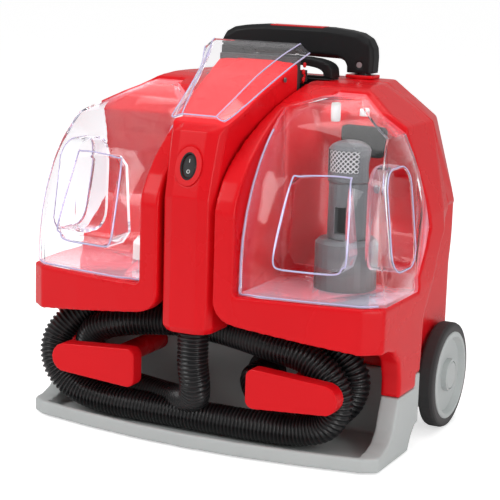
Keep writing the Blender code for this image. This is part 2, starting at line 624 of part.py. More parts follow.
def tool_sections(shrink=0.0):
    """Sections along the tool: (front point, back point, half width), from its foot to its mouth."""
    back = dock_line(-RUN)
    foot = TOOL_BOTTOM
    rows = [((TOOL_FRONT + 0.0030, foot), (back[0][0], foot), TOOL_HALF - 0.0030),
            ((TOOL_FRONT, foot + 0.0060), (back[0][0], foot + 0.0060), TOOL_HALF),
            ((TOOL_FRONT, FACE_Z), (back[1][0], back[1][1]), TOOL_HALF),
            ((on_face(ROCKER_Z), ROCKER_Z), (back[2][0], back[2][1]), TOOL_HALF + 0.0008),
            ((on_face(ARCH_Z + 0.0760), ARCH_Z + 0.0760), (back[3][0], back[3][1]), TOOL_HALF + 0.0020),
            ((-0.1170, ARCH_Z + 0.0830), (back[4][0] - 0.006, back[4][1]), TOOL_HALF + 0.0035),
            ((-0.0900, ARCH_Z + 0.0950), (back[5][0] - 0.016, back[5][1] - 0.006), TOOL_HALF + 0.0070),
            ((-0.0500, ARCH_Z + 0.1140), (back[5][0] + 0.004, back[5][1] + 0.002), TOOL_HALF + 0.0110),
            ((HEAD_Y, ARCH_Z + 0.1380), (HEAD_Y, back[6][1] + 0.008), HEAD_HALF)]
    return rows


def tool_ring(front, back, half, shrink, chamfer):
    """A section across the tool, with the front corners cut."""
    f, b = Vector((0, *front)), Vector((0, *back))
    along = (b - f).normalized()
    f, b = f + along * shrink, b - along * shrink
    half -= shrink
    side = Vector((1, 0, 0))
    soft = f + along * chamfer * 0.35
    deep = f + along * chamfer
    return [f + side * half * 0.50, soft + side * (half - chamfer * 0.40), deep + side * half, b + side * half,
            b - side * half, deep - side * half, soft - side * (half - chamfer * 0.40), f - side * half * 0.50]


def tool_solid(name, shrink, material=None):
    rings = []
    for level, (front, back, half) in enumerate(tool_sections()):
        chamfer = 0.012 if level < 5 else 0.004
        rings.append(tool_ring(front, back, half, shrink, chamfer))
    return loft(name, rings, material)


def tool_shells(red):
    """The tool's front casing, hollow, with its back cover and the window for the rocker."""
    body = tool_solid("tool_body", 0.0, red)
    hollow = tool_solid("hollow", 0.0030)
    slab = [(-0.3, 0.0), (-0.3, TOOL_BOTTOM + 0.0300), (-0.0800, TOOL_BOTTOM + 0.0300), (-0.0800, 0.0)]
    cut(hollow, prism("solid_foot", "X", slab, -0.2, 0.2))
    cut(body, hollow)
    opening = block("opening", (-TOOL_HALF + 0.0045, TOOL_BACK - 0.0060, TOOL_BOTTOM + 0.0360),
                    (TOOL_HALF - 0.0045, TOOL_BACK + 0.0100, COVER_TOP))
    cut(body, opening)
    cut(body, leaning_oval("rocker_hole", ROCKER_HALF + 0.0012, ROCKER_TALL + 0.0012, -0.01, 0.02),
        leaning_oval("bezel_seat", BEZEL_HALF + GAP, BEZEL_TALL + GAP, -0.01, 0.0008 + GAP))
    cut(body, rod("hose_bore", "Z", (0.0, HOSE_Y), HOSE_DIAMETER * 0.40, 0.0, TOOL_BOTTOM + 0.0400, steps=20))
    smooth(body, 30)
    cover = block("tool_back_cover", (-TOOL_HALF + 0.0045 + GAP, TOOL_BACK - 0.0030 + GAP, TOOL_BOTTOM + 0.0360 + GAP),
                  (TOOL_HALF - 0.0045 - GAP, TOOL_BACK, COVER_TOP - GAP), red)
    cut(cover, block("trigger_slot", (-0.0060, -0.2, TRIGGER_Z - 0.0260), (0.0060, 0.0, TRIGGER_Z + 0.0260)))


def oval(z, half, tall, steps=20):
    turn = 2 * math.pi / steps
    return [(half * math.cos(turn * i), z + tall * math.sin(turn * i)) for i in range(steps)]


def leaning_oval(name, half, tall, near, far, material=None):
    """An oval plug along Y, its ends parallel to the leaning face and measured from it."""
    rings = [[(x, on_face(z) + level, z) for x, z in oval(ROCKER_Z, half, tall)] for level in (near, far)]
    return loft(name, rings, material)


def tool_switch(red, black):
    """A raised oval ring on the tool's front, and the rocker that tips inside it."""
    ring = leaning_oval("rocker_bezel", BEZEL_HALF, BEZEL_TALL, -BEZEL_PROUD, 0.0008, red)
    weld(ring, leaning_oval("neck", ROCKER_HALF + 0.0009, ROCKER_TALL + 0.0009, 0.0, 0.0100))
    cut(ring, leaning_oval("hole", ROCKER_HALF - 0.0005, ROCKER_TALL - 0.0005, -0.1, 0.1))
    smooth(ring)
    rocker = leaning_oval("tool_rocker", ROCKER_HALF - 0.0011, ROCKER_TALL - 0.0015, 0.0, 0.0055, black)
    smooth(rocker)


def tool_trigger(black):
    """The spray lever on the back of the stem, on a pin at its upper end."""
    low, high = TRIGGER_Z - 0.0240, TRIGGER_Z + 0.0240
    outline = [(TOOL_BACK - 0.0120, low + 0.0060), (TOOL_BACK - 0.0010, low), (TOOL_BACK + 0.0008, low + 0.0080),
               (TOOL_BACK + 0.0008, high - 0.0080), (TOOL_BACK - 0.0030, high), (TOOL_BACK - 0.0120, high)]
    lever = prism("tool_trigger", "X", outline, -0.0052, 0.0052, black)
    cut(lever, rod("bore", "X", (TOOL_BACK - 0.0080, high - 0.0050), 0.0015 + GAP, -0.1, 0.1, steps=12))
    smooth(lever)
    smooth(rod("trigger_pin", "X", (TOOL_BACK - 0.0080, high - 0.0050), 0.0015, -0.0200, 0.0200, steps=12))


def hood_rings(inset):
    """Sections of the clear suction hood, from its foot to its flared mouth. inset thins it inwards."""
    rows = ((-0.1190, 0.0905, 0.0190, 0.0300, 0.0030), (-0.0900, 0.1080, 0.0255, 0.0360, 0.0080),
            (-0.0560, 0.1280, 0.0325, 0.0420, 0.0120), (-0.0240, 0.1445, 0.0410, 0.0490, 0.0130),
            (-0.0040, 0.1540, 0.0480, 0.0570, 0.0110), (0.0060, 0.1575, 0.0500, 0.0610, 0.0090))
    rings = []
    for y, height, top_half, foot_half, drop in rows:
        z = ARCH_Z + height
        rings.append([(-foot_half + inset, y, z - drop), (-top_half + inset * 0.4, y, z - inset),
                      (top_half - inset * 0.4, y, z - inset), (foot_half - inset, y, z - drop)])
    return rings


def tool_hood(clear):
    """The hood stands over the tool's red face, open at the mouth and underneath."""
    rings = hood_rings(0.0)
    under = hood_rings(0.0)
    thick = 0.0020
    points = [Vector(p) for ring in rings for p in ring]
    points += [Vector((p[0] * (1 - thick / 0.045), p[1], p[2] - thick * 1.2)) for ring in under for p in ring]
    count, levels = 4, len(rings)
    faces = []
    offset = count * levels
    for level in range(levels - 1):
        for i in range(count - 1):
            a, b = level * count + i, (level + 1) * count + i
            faces.append([a, a + 1, b + 1, b])
            faces.append([offset + a, offset + b, offset + b + 1, offset + a + 1])
        for i in (0, count - 1):
            a, b = level * count + i, (level + 1) * count + i
            faces.append([a, b, offset + b, offset + a])
    for level in (0, levels - 1):
        for i in range(count - 1):
            a = level * count + i
            faces.append([a, a + 1, offset + a + 1, offset + a])
    return smooth(solid("tool_hood", points, faces, clear), 30)


def tool_brush(black, red, steel):
    """A housing across the head's rear, with the roller, its bristle rows, and the motor that turns it."""
    half = HEAD_HALF - 0.0010
    y0, y1 = HEAD_Y + GAP, HEAD_Y + 0.0093
    low, high = BRUSH_Z - BRUSH_RADIUS - 0.0120, BRUSH_Z + BRUSH_RADIUS + 0.0050
    housing = block("brush_housing", (-half, y0, low), (half, y1, high), black)
    for side in (-1, 1):
        inner, outer = sorted((side * half, side * (half - 0.0028)))
        weld(housing, block("arm", (inner, y1 - 0.0010, BRUSH_Z - 0.0060), (outer, BRUSH_Y + 0.0060, BRUSH_Z + 0.0060)))
    cut(housing, rod("hollow", "X", (BRUSH_Y, BRUSH_Z), BRUSH_RADIUS + RUN, -half + 0.0030, half - 0.0030, steps=24))
    cut(housing, rod("bearing", "X", (BRUSH_Y, BRUSH_Z), 0.0030 + GAP, -0.2, 0.2, steps=12))
    smooth(housing, 30)
    core = 0.0065
    roller = rod("brush_roller", "X", (BRUSH_Y, BRUSH_Z), core, -half + 0.0040, half - 0.0040, red, 16)
    weld(roller, rod("journals", "X", (BRUSH_Y, BRUSH_Z), 0.0030, -half + 0.0005, half - 0.0005, steps=12))
    rows, tufts = 6, 5
    for row in range(rows):
        angle = 2 * math.pi * row / rows + math.pi / rows
        for i in range(tufts):
            x = (i - (tufts - 1) / 2) * 0.0160 + (0.0040 if row % 2 else -0.0040)
            weld(roller, tuft(x, angle, core - 0.0010))
    smooth(roller, 30)
    smooth(rod("brush_motor", "Y", (0.0, BRUSH_Z - 0.0250), 0.0085, -0.0420, -0.0120, steel, 20))


def tuft(x, angle, start):
    outward = Vector((0, math.cos(angle), math.sin(angle)))
    across = Vector((0, -math.sin(angle), math.cos(angle)))
    side = Vector((1, 0, 0))
    hub = Vector((x, BRUSH_Y, BRUSH_Z))
    rings = []
    for reach, half in ((start, 0.0014), (BRUSH_RADIUS, 0.0022)):
        centre = hub + outward * reach
        rings.append([centre + (side * u + across * v) * half for u, v in ((-1, -1), (1, -1), (1, 1), (-1, 1))])
    return loft("tuft", rings)


# ---------------------------------------------------------------- hose and its fittings
HOSE_ROUTE = [
    (0.000, -0.120, 0.1225), (0.000, -0.120, 0.1050), (0.000, -0.119, 0.0850), (0.000, -0.114, 0.0640),
    (-0.009, -0.101, 0.0460), (-0.036, -0.085, 0.0360), (-0.078, -0.072, 0.0350), (-0.112, -0.066, 0.0370),
    (-0.139, -0.068, 0.0500), (-0.149, -0.076, 0.0740), (-0.137, -0.083, 0.0970), (-0.106, -0.086, 0.1105),
    (-0.060, -0.076, 0.1160), (-0.020, -0.072, 0.1170), (0.030, -0.078, 0.1140), (0.075, -0.088, 0.1095),
    (0.112, -0.091, 0.1035), (0.141, -0.091, 0.0850), (0.149, -0.091, 0.0600), (0.136, -0.091, 0.0370),
    (0.106, -0.091, 0.0272), (0.060, -0.093, 0.0250), (0.000, -0.094, 0.0250), (-0.060, -0.094, 0.0250),
    (-0.112, -0.094, 0.0256), (-0.152, -0.094, 0.0330), (-0.178, -0.094, 0.0530), (-0.1835, -0.090, 0.0800),
    (-0.170, -0.080, 0.1040), (-0.142, -0.062, 0.1220), (-0.100, -0.046, 0.1310), (-0.050, -0.040, 0.1325),
    (0.010, -0.042, 0.1300), (0.070, -0.048, 0.1240), (0.118, -0.054, 0.1130), (0.149, -0.055, 0.0870),
    (0.148, -0.054, 0.0590), (0.128, -0.053, 0.0380), (0.098, -0.053, 0.0300), (0.066, -0.054, 0.0340),
    (0.044, -0.050, 0.0460), (0.032, -0.039, 0.0550), (0.030, -0.028, 0.0570), (0.030, -0.018, 0.0570),
    (0.030, -0.0073, 0.0570),
]


def along_route(route, spacing):
    """Evenly spaced points on a smooth curve through the route's points."""
    fine = []
    count = len(route)
    for i in range(count - 1):
        p0, p1, p2, p3 = (Vector(route[max(0, min(count - 1, i + k))]) for k in (-1, 0, 1, 2))
        for step in range(16):
            t = step / 16
            fine.append(0.5 * (2 * p1 + (p2 - p0) * t + (2 * p0 - 5 * p1 + 4 * p2 - p3) * t ** 2
                               + (3 * p1 - p0 - 3 * p2 + p3) * t ** 3))
    fine.append(Vector(route[-1]))
    lengths = [(b - a).length for a, b in zip(fine, fine[1:])]
    pieces = max(2, round(sum(lengths) / spacing))
    step, travelled, points = sum(lengths) / pieces, 0.0, [fine[0]]
    for start, end, length in zip(fine, fine[1:], lengths):
        while travelled + length >= step * len(points) and len(points) < pieces:
            points.append(start.lerp(end, (step * len(points) - travelled) / length))
        travelled += length
    return points + [fine[-1]]


def hose(black):
    points = along_route(HOSE_ROUTE, HOSE_DIAMETER * 0.8)
    curve = bpy.data.curves.new("hose", "CURVE")
    curve.dimensions = "3D"
    curve.bevel_depth = HOSE_DIAMETER / 2
    curve.bevel_resolution = 4
    curve.use_fill_caps = True
    curve.render_resolution_u = 0
    spline = curve.splines.new("POLY")
    spline.points.add(len(points) - 1)
    for slot, point in zip(spline.points, points):
        slot.co = (*point, 1.0)
    curve.materials.append(black)
    piece = bpy.data.objects.new("hose", curve)
    bpy.context.scene.collection.objects.link(piece)


def hose_fittings(black, red):
    """The cuff at the tool's foot, the socket in the bay's back wall, and the two wrap pads."""
    r = HOSE_DIAMETER / 2
    cuff = turned("hose_cuff", "Z", (0.0, HOSE_Y), [(HOSE_ROUTE[0][2] + GAP, r * 0.98), (TOOL_BOTTOM - GAP, r * 0.98),
                  (TOOL_BOTTOM - GAP, r * 0.74), (TOOL_BOTTOM + 0.0300, r * 0.74)], black, 24)
    cut(cuff, rod("bore", "Z", (0.0, HOSE_Y), r * 0.60, 0.0, 0.3, steps=20))
    smooth(cuff)
    end_y = HOSE_ROUTE[-1][1]
    socket = turned("hose_socket", "Y", (INLET_X, INLET_Z), [(-0.0070, SOCKET_RADIUS + 0.0030),
                    (RECESS_BACK - GAP, SOCKET_RADIUS + 0.0030), (RECESS_BACK - GAP, SOCKET_RADIUS),
                    (0.0150, SOCKET_RADIUS)], black, 24)
    cut(socket, rod("bore", "Y", (INLET_X, INLET_Z), r * 0.72, -0.1, 0.1, steps=20))
    smooth(socket)


def hose_pads(red):
    """A rounded paddle on a post at each side; the outer end is round and the inner end squarer."""
    for side, word in ((-1, "left"), (1, "right")):
        outline = pad_outline()
        points = [(side * x, z) for x, z in outline]
        pad = prism("hose_pad_" + word, "Y", points, PAD_FRONT, PAD_FRONT + PAD_THICK, red)
        post = rod("post", "Y", (side * PAD_X, PAD_Z), POST_RADIUS, PAD_FRONT + 0.0050, RECESS_BACK - GAP, steps=20)
        spigot = rod("spigot", "Y", (side * PAD_X, PAD_Z), POST_RADIUS * 0.5, RECESS_BACK - 0.0100, 0.0030, steps=16)
        smooth(weld(pad, post, spigot))


def pad_outline():
    points = []
    for cx, cz, radius, start, end in ((PAD_OUTER - 0.0155, PAD_Z, 0.0155, -75, 80),
                                       (PAD_INNER + 0.0090, PAD_Z + 0.0115, 0.0090, 85, 175),
                                       (PAD_INNER + 0.0090, PAD_Z - 0.0115, 0.0090, 185, 275)):
        for i in range(7):
            angle = math.radians(start + (end - start) * i / 6)
            points.append((cx + radius * math.cos(angle), cz + radius * math.sin(angle)))
    return points


# ---------------------------------------------------------------- wheels
def wheels(rubber, grey, steel):
    smooth(rod("axle", "X", (WHEEL_Y, WHEEL_RADIUS), AXLE_RADIUS, -WHEEL_IN - 0.0130, WHEEL_IN + 0.0130, steel, 16))
    rim = WHEEL_RADIUS - TYRE_DEPTH
    edge = 0.0035
    for side, word in ((-1, "left"), (1, "right")):
        x0 = side * WHEEL_IN
        centre = (WHEEL_Y, WHEEL_RADIUS)

        def at(distance):
            return x0 + side * distance

        profile = [(at(0.0), rim), (at(0.0), WHEEL_RADIUS - edge), (at(edge * 0.3), WHEEL_RADIUS - edge * 0.3),
                   (at(edge), WHEEL_RADIUS), (at(TYRE_WIDTH - edge), WHEEL_RADIUS),
                   (at(TYRE_WIDTH - edge * 0.3), WHEEL_RADIUS - edge * 0.3),
                   (at(TYRE_WIDTH), WHEEL_RADIUS - edge), (at(TYRE_WIDTH), rim)]
        tyre = turned("tyre_" + word, "X", centre, profile, rubber, 56)
        cut(tyre, rod("inside", "X", centre, rim, -0.3, 0.3, steps=56))
        smooth(tyre, 35)
        hub = turned("hub_" + word, "X", centre, [(at(0.0012), rim - GAP), (at(TYRE_WIDTH + 0.0006), rim - GAP),
                     (at(TYRE_WIDTH + 0.0016), rim - 0.0016)], grey, 56)
        cut(hub, ring_cutter(at, centre, rim - 0.0055, 0.0175), rod("bore", "X", centre, AXLE_RADIUS + GAP, -0.3, 0.3,
                                                                    steps=16),
            rod("cap_seat", "X", centre, 0.0150 + GAP, *sorted((at(TYRE_WIDTH - 0.0035), side * 0.3)), steps=24))
        smooth(hub, 35)
        cap = turned("hub_cap_" + word, "X", centre, [(at(TYRE_WIDTH - 0.0032), 0.0150),
                     (at(TYRE_WIDTH + 0.0006), 0.0150), (at(TYRE_WIDTH + 0.0018), 0.0136)], grey, 24)
        smooth(cap, 35)


def ring_cutter(at, centre, outer, inner):
    """The dished ring between a hub's rim and its boss."""
    low, high = at(TYRE_WIDTH - 0.0045), at(TYRE_WIDTH + 0.0100)
    dish = turned("dish", "X", centre, [(low, outer - 0.0025), (at(TYRE_WIDTH + 0.0016), outer), (high, outer)], steps=56)
    boss = turned("boss", "X", centre, [(at(TYRE_WIDTH - 0.0100), inner), (at(TYRE_WIDTH + 0.0200), inner)], steps=24)
    return cut(dish, boss)


# ---------------------------------------------------------------- telescopic handle
def telescopic_handle(black, red, steel):
    """A broad grip on two tubes; each tube slides in a stage, and each stage slides in a guide."""
    y0, y1 = TUBE_Y - GRIP_DEPTH / 2, TUBE_Y + GRIP_DEPTH / 2
    half = [(0.0000, GRIP_TOP), (0.0400, GRIP_TOP), (0.0620, GRIP_TOP - 0.0020), (0.0760, GRIP_TOP - 0.0045),
            (0.0860, GRIP_TOP - 0.0100), (0.0915, GRIP_TOP - 0.0200), (GRIP_HALF, GRIP_TOP - 0.0300),
            (GRIP_HALF - 0.0008, GRIP_BOTTOM), (0.0662, GRIP_BOTTOM), (0.0655, GRIP_BOTTOM + 0.0050),
            (0.0620, GRIP_BOTTOM + 0.0105), (0.0540, GRIP_BOTTOM + 0.0140), (0.0000, GRIP_BOTTOM + 0.0150)]
    outline = half + [(-x, z) for x, z in reversed(half[1:-1])]
    inset = 0.0040

    def ring(y, scale):
        middle = GRIP_TOP - 0.0165
        return [(x - math.copysign(min(abs(x), scale), x), y, z + scale * (1 if z < middle else -1) *
                 (1 if abs(z - GRIP_BOTTOM) > 0.0045 else 0)) for x, z in outline]

    grip = loft("handle_grip", [ring(y0, inset), ring(y0 + inset, 0.0), ring(y1 - inset, 0.0), ring(y1, inset)], black)
    for side in (-1, 1):
        cut(grip, rod("socket", "Z", (side * TUBE_X, TUBE_Y), TUBE_RADIUS + GAP, 0.3, GRIP_BOTTOM + 0.0180, steps=20))
        cut(grip, rod("screw_hole", "Y", (side * TUBE_X, GRIP_BOTTOM + 0.0090), 0.0035, 0.0, y0 + 0.0020, steps=12))
    cut(grip, block("button_slot", (-BUTTON_HALF - GAP * 2, TUBE_Y - 0.0085, GRIP_TOP - 0.0130),
                    (BUTTON_HALF + GAP * 2, TUBE_Y + 0.0085, GRIP_TOP + 0.1)))
    smooth(grip, 30)
    button = block("handle_button", (-BUTTON_HALF, TUBE_Y - 0.0082, GRIP_TOP - 0.0075),
                   (BUTTON_HALF, TUBE_Y + 0.0082, GRIP_TOP + 0.0002), red)
    smooth(button, 30)
    for side, word in ((-1, "left"), (1, "right")):
        centre = (side * TUBE_X, TUBE_Y)
        smooth(rod("handle_tube_" + word, "Z", centre, TUBE_RADIUS, TUBE_LOW, GRIP_BOTTOM + 0.0175, steel, 20))
        stage = rod("handle_stage_" + word, "Z", centre, STAGE_RADIUS, TUBE_LOW - 0.0050, STAGE_TOP, steel, 20)
        cut(stage, rod("bore", "Z", centre, TUBE_RADIUS + GAP, TUBE_LOW - 0.0020, 0.5, steps=20))
        smooth(stage)
        guide = prism("handle_guide_" + word, "Z", rounded(side * TUBE_X - 0.0165, TUBE_Y - 0.0125,
                      side * TUBE_X + 0.0165, TUBE_Y + 0.0125, 0.004), BODY_TOP + GAP, STAGE_TOP - 0.0010, red)
        weld(guide, rod("sleeve", "Z", centre, STAGE_RADIUS + 0.0030, GUIDE_LOW, BODY_TOP + 0.0010))
        cut(guide, rod("bore", "Z", centre, STAGE_RADIUS + GAP, 0.2, 0.5, steps=20))
        smooth(guide)
        head = turned("handle_screw_" + word, "Y", (side * TUBE_X, GRIP_BOTTOM + 0.0090),
                      [(y0 + 0.0005, 0.0032), (y0 + 0.0018, 0.0032)], steel, 12)
        smooth(head)


# ---------------------------------------------------------------- inside the casing
def machinery(black, steel, grey):
    """Vacuum motor over its fan, the pump beside it, and the duct from the cradle side."""
    smooth(rod("vacuum_motor", "Z", (MOTOR_X, MOTOR_Y), 0.0380, 0.1720, 0.2600, steel, 24))
    housing = rod("fan_housing", "Z", (MOTOR_X, MOTOR_Y), 0.0470, 0.1180, 0.1710, black, 28)
    cut(housing, rod("chamber", "Z", (MOTOR_X, MOTOR_Y), 0.0440, 0.1220, 0.2, steps=28))
    cut(housing, rod("eye", "Z", (MOTOR_X, MOTOR_Y), 0.0140, 0.1, 0.2, steps=20))
    smooth(housing)
    fan = rod("vacuum_fan", "Z", (MOTOR_X, MOTOR_Y), 0.0400, 0.1300, 0.1320, grey, 28)
    weld(fan, rod("boss", "Z", (MOTOR_X, MOTOR_Y), 0.0090, 0.1310, 0.1680, steps=16))
    for i in range(8):
        weld(fan, fan_blade(2 * math.pi * i / 8))
    smooth(fan)
    pump = block("water_pump", (-0.130, 0.030, 0.100), (-0.070, 0.066, 0.140), black)
    weld(pump, rod("coil", "X", (0.048, 0.120), 0.0150, -0.150, -0.120, steps=20))
    smooth(pump, 30)


def fan_blade(angle):
    """A flat blade that leans back from the boss."""
    points = []
    for reach, turn in ((0.0080, 0.0), (0.0220, 0.25), (0.0380, 0.70)):
        points.append((reach, angle + turn))
    rings = []
    for reach, turn in points:
        x, y = MOTOR_X + reach * math.cos(turn), MOTOR_Y + reach * math.sin(turn)
        nx, ny = -math.sin(turn) * 0.0008, math.cos(turn) * 0.0008
        rings.append([(x - nx, y - ny, 0.1310), (x + nx, y + ny, 0.1310), (x + nx, y + ny, 0.1500), (x - nx, y - ny, 0.1500)])
    return loft("blade", rings)


def rear_fittings(black):
    """The exhaust grille and the mains cord's gland, both in the rear casing."""
    grille = prism("exhaust_grille", "Y", rounded(-0.060 + GAP, 0.145 + GAP, 0.060 - GAP, 0.215 - GAP, 0.0078),
                   REAR_Y - WALL, REAR_Y, black)
    for i in range(6):
        z = 0.154 + 0.0095 * i
        cut(grille, block("slot", (-0.052, 0.1, z), (0.052, 0.2, z + 0.0045)))
    gland = turned("cord_gland", "Y", (GLAND_X, GLAND_Z), [(REAR_Y - 0.0080, 0.0090), (REAR_Y + GAP, 0.0090),
                   (REAR_Y + GAP, 0.0120), (REAR_Y + 0.0030, 0.0110)], black, 20)
    cut(gland, rod("bore", "Y", (GLAND_X, GLAND_Z), 0.0042, 0.0, 0.3, steps=16))
    smooth(gland)


def power_switch(black):
    """The main rocker, on the upper right of the back."""
    half, tall = 0.0152 - RUN / 2, 0.0112 - RUN / 2
    smooth(prism("power_switch", "Y", rounded(SWITCH_X - half, SWITCH_Z - tall + 0.0006, SWITCH_X + half,
                 SWITCH_Z + tall - 0.0006, 0.002), REAR_Y - 0.0060, REAR_Y + 0.0025, black), 30)


def build():
    clear_scene()
    red = finish("red_plastic", RED, 0.32)
    grey = finish("grey_plastic", GREY, 0.45)
    black = finish("black_plastic", BLACK, 0.40)
    rubber = finish("black_rubber", BLACK, 0.75)
    dark = finish("standpipe_grey", DARK_GREY, 0.40)
    clear = finish("clear_plastic", CLEAR, 0.05, transmission=1.0)
    steel = finish("steel", STEEL, 0.35, 1.0)
    white = finish("white_plastic", WHITE, 0.40)
    base_tray(grey)
    feet(rubber)
    front_shell(red)
    rear_shell(red)
    carry_handle(black)
    clean_tank(clear, white, black)
    waste_tank(clear, dark, black, white)
    outlet_filter(black)
    tool_shells(red)
    tool_switch(red, black)
    tool_trigger(black)
    tool_hood(clear)
    tool_brush(black, red, steel)
    hose(black)
    hose_fittings(black, red)
    hose_pads(red)
    wheels(rubber, grey, steel)
    telescopic_handle(black, red, steel)
    machinery(black, steel, grey)
    rear_fittings(black)
    power_switch(black)


build()
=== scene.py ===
# %% [markdown]
# # Portable carpet cleaner
# A wet cleaner for carpets and stairs stands on a grey tray. It has two wheels, two clear tanks,
# a hand tool docked in the middle and a long ribbed hose wound round two pads. The working parts
# were made first, and this script gives them their surfaces, so it starts by loading them.

# %% Load the frame
import math

import bpy
from mathutils import Matrix, Vector
from mathutils.bvhtree import BVHTree


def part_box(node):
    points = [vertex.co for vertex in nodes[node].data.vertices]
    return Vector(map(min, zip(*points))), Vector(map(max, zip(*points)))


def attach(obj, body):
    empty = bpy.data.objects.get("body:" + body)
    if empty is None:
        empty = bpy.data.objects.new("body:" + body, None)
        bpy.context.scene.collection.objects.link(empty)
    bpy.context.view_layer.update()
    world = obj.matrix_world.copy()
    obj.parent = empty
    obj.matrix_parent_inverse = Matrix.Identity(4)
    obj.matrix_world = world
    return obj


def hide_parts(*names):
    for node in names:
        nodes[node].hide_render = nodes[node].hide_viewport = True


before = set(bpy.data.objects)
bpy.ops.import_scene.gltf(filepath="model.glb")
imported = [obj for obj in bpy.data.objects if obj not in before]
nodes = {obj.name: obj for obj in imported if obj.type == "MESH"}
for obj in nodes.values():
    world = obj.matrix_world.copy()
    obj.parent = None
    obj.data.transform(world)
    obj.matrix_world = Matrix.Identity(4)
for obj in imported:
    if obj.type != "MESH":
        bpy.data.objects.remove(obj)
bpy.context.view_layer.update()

# %% [markdown]
# ## Camera
# The machine is seen from its right, a little above it. The camera could be turned by Euler angles,
# but a slight roll is easier to state as three axes, so its matrix is made from those.

# %% Camera
VIEW_AZIMUTH, VIEW_ELEVATION, VIEW_ROLL = (math.radians(a) for a in (26.065, 11.303, 1.760))


def camera_matrix(place):
    back = Vector((math.sin(VIEW_AZIMUTH) * math.cos(VIEW_ELEVATION),
                   -math.cos(VIEW_AZIMUTH) * math.cos(VIEW_ELEVATION), math.sin(VIEW_ELEVATION)))
    level = Vector((math.cos(VIEW_AZIMUTH), math.sin(VIEW_AZIMUTH), 0))
    upright = back.cross(level)
    right = level * math.cos(VIEW_ROLL) + upright * math.sin(VIEW_ROLL)
    up = upright * math.cos(VIEW_ROLL) - level * math.sin(VIEW_ROLL)
    turned = Matrix((right, up, back)).transposed().to_4x4()
    return Matrix.Translation(place) @ turned


LENS_MM, CAMERA_PLACE = 114.32, Vector((0.7335, -1.4949, 0.5183))
lens = bpy.data.cameras.new("camera")
lens.lens = LENS_MM
camera = bpy.data.objects.new("camera", lens)
camera.matrix_world = camera_matrix(CAMERA_PLACE)
bpy.context.scene.collection.objects.link(camera)
bpy.context.scene.camera = camera
print("camera at", [round(v, 3) for v in camera.location])

# %% [markdown]
# ## The hose
# The suction hose is a spiral of thin plastic with about one rib every 4 mm. It leaves the tool's
# foot, winds once round the left pad and twice round both, and ends in the socket at the back of
# the bay. Ribs could be a bump texture, but they show on the hose's outline, so they are real
# rings.

# %% Hose route
HOSE_DIAMETER = 0.0320
HOSE_ROUTE = [
    (0.000, -0.120, 0.1225), (0.000, -0.120, 0.1050), (0.000, -0.119, 0.0850),
    (0.000, -0.114, 0.0640), (-0.009, -0.101, 0.0460), (-0.036, -0.085, 0.0360),
    (-0.078, -0.072, 0.0350), (-0.112, -0.066, 0.0370), (-0.139, -0.068, 0.0500),
    (-0.149, -0.076, 0.0740), (-0.137, -0.083, 0.0970), (-0.106, -0.086, 0.1105),
    (-0.060, -0.076, 0.1160), (-0.020, -0.072, 0.1170), (0.030, -0.078, 0.1140),
    (0.075, -0.088, 0.1095), (0.112, -0.091, 0.1035), (0.141, -0.091, 0.0850),
    (0.149, -0.091, 0.0600), (0.136, -0.091, 0.0370), (0.106, -0.091, 0.0272),
    (0.060, -0.093, 0.0250), (0.000, -0.094, 0.0250), (-0.060, -0.094, 0.0250),
    (-0.112, -0.094, 0.0256), (-0.152, -0.094, 0.0330), (-0.178, -0.094, 0.0530),
    (-0.1835, -0.090, 0.0800), (-0.170, -0.080, 0.1040), (-0.142, -0.062, 0.1220),
    (-0.100, -0.046, 0.1310), (-0.050, -0.040, 0.1325), (0.010, -0.042, 0.1300),
    (0.070, -0.048, 0.1240), (0.118, -0.054, 0.1130), (0.149, -0.055, 0.0870),
    (0.148, -0.054, 0.0590), (0.128, -0.053, 0.0380), (0.098, -0.053, 0.0300),
    (0.066, -0.054, 0.0340), (0.044, -0.050, 0.0460), (0.032, -0.039, 0.0550),
    (0.030, -0.028, 0.0570), (0.030, -0.018, 0.0570), (0.030, -0.0073, 0.0570),
]


def through(route, spacing):
    """Evenly spaced points on a smooth curve through the route's points."""
    fine = []
    count = len(route)
    for i in range(count - 1):
        p0, p1, p2, p3 = (Vector(route[max(0, min(count - 1, i + k))]) for k in (-1, 0, 1, 2))
        for step in range(16):
            t = step / 16
            fine.append(0.5 * (2 * p1 + (p2 - p0) * t + (2 * p0 - 5 * p1 + 4 * p2 - p3) * t ** 2
                               + (3 * p1 - p0 - 3 * p2 + p3) * t ** 3))
    fine.append(Vector(route[-1]))
    lengths = [(b - a).length for a, b in zip(fine, fine[1:])]
    pieces = max(2, round(sum(lengths) / spacing))
    step, travelled, points = sum(lengths) / pieces, 0.0, [fine[0]]
    for start, end, length in zip(fine, fine[1:], lengths):
        while travelled + length >= step * len(points) and len(points) < pieces:
            points.append(start.lerp(end, (step * len(points) - travelled) / length))
        travelled += length
    return points + [fine[-1]]


def length_of(points):
    return sum((b - a).length for a, b in zip(points, points[1:]))


centre_line = through(HOSE_ROUTE, 0.001)
hose_length = length_of(centre_line)
print("hose", round(hose_length, 3), "m long")

# %% [markdown]
# A tube follows the route when each ring of points is set square to it. The ring's own axes are
# carried from one ring to the next with the least turn, so that the tube doesn't twist.


# %% Mesh helpers
def new_piece(name, mesh):
    piece = bpy.data.objects.new(name, mesh)
    bpy.context.scene.collection.objects.link(piece)
    return piece


def mesh_of(name, points, faces):
    mesh = bpy.data.meshes.new(name)
    mesh.from_pydata([tuple(p) for p in points], [], faces)
    mesh.update()
    return mesh


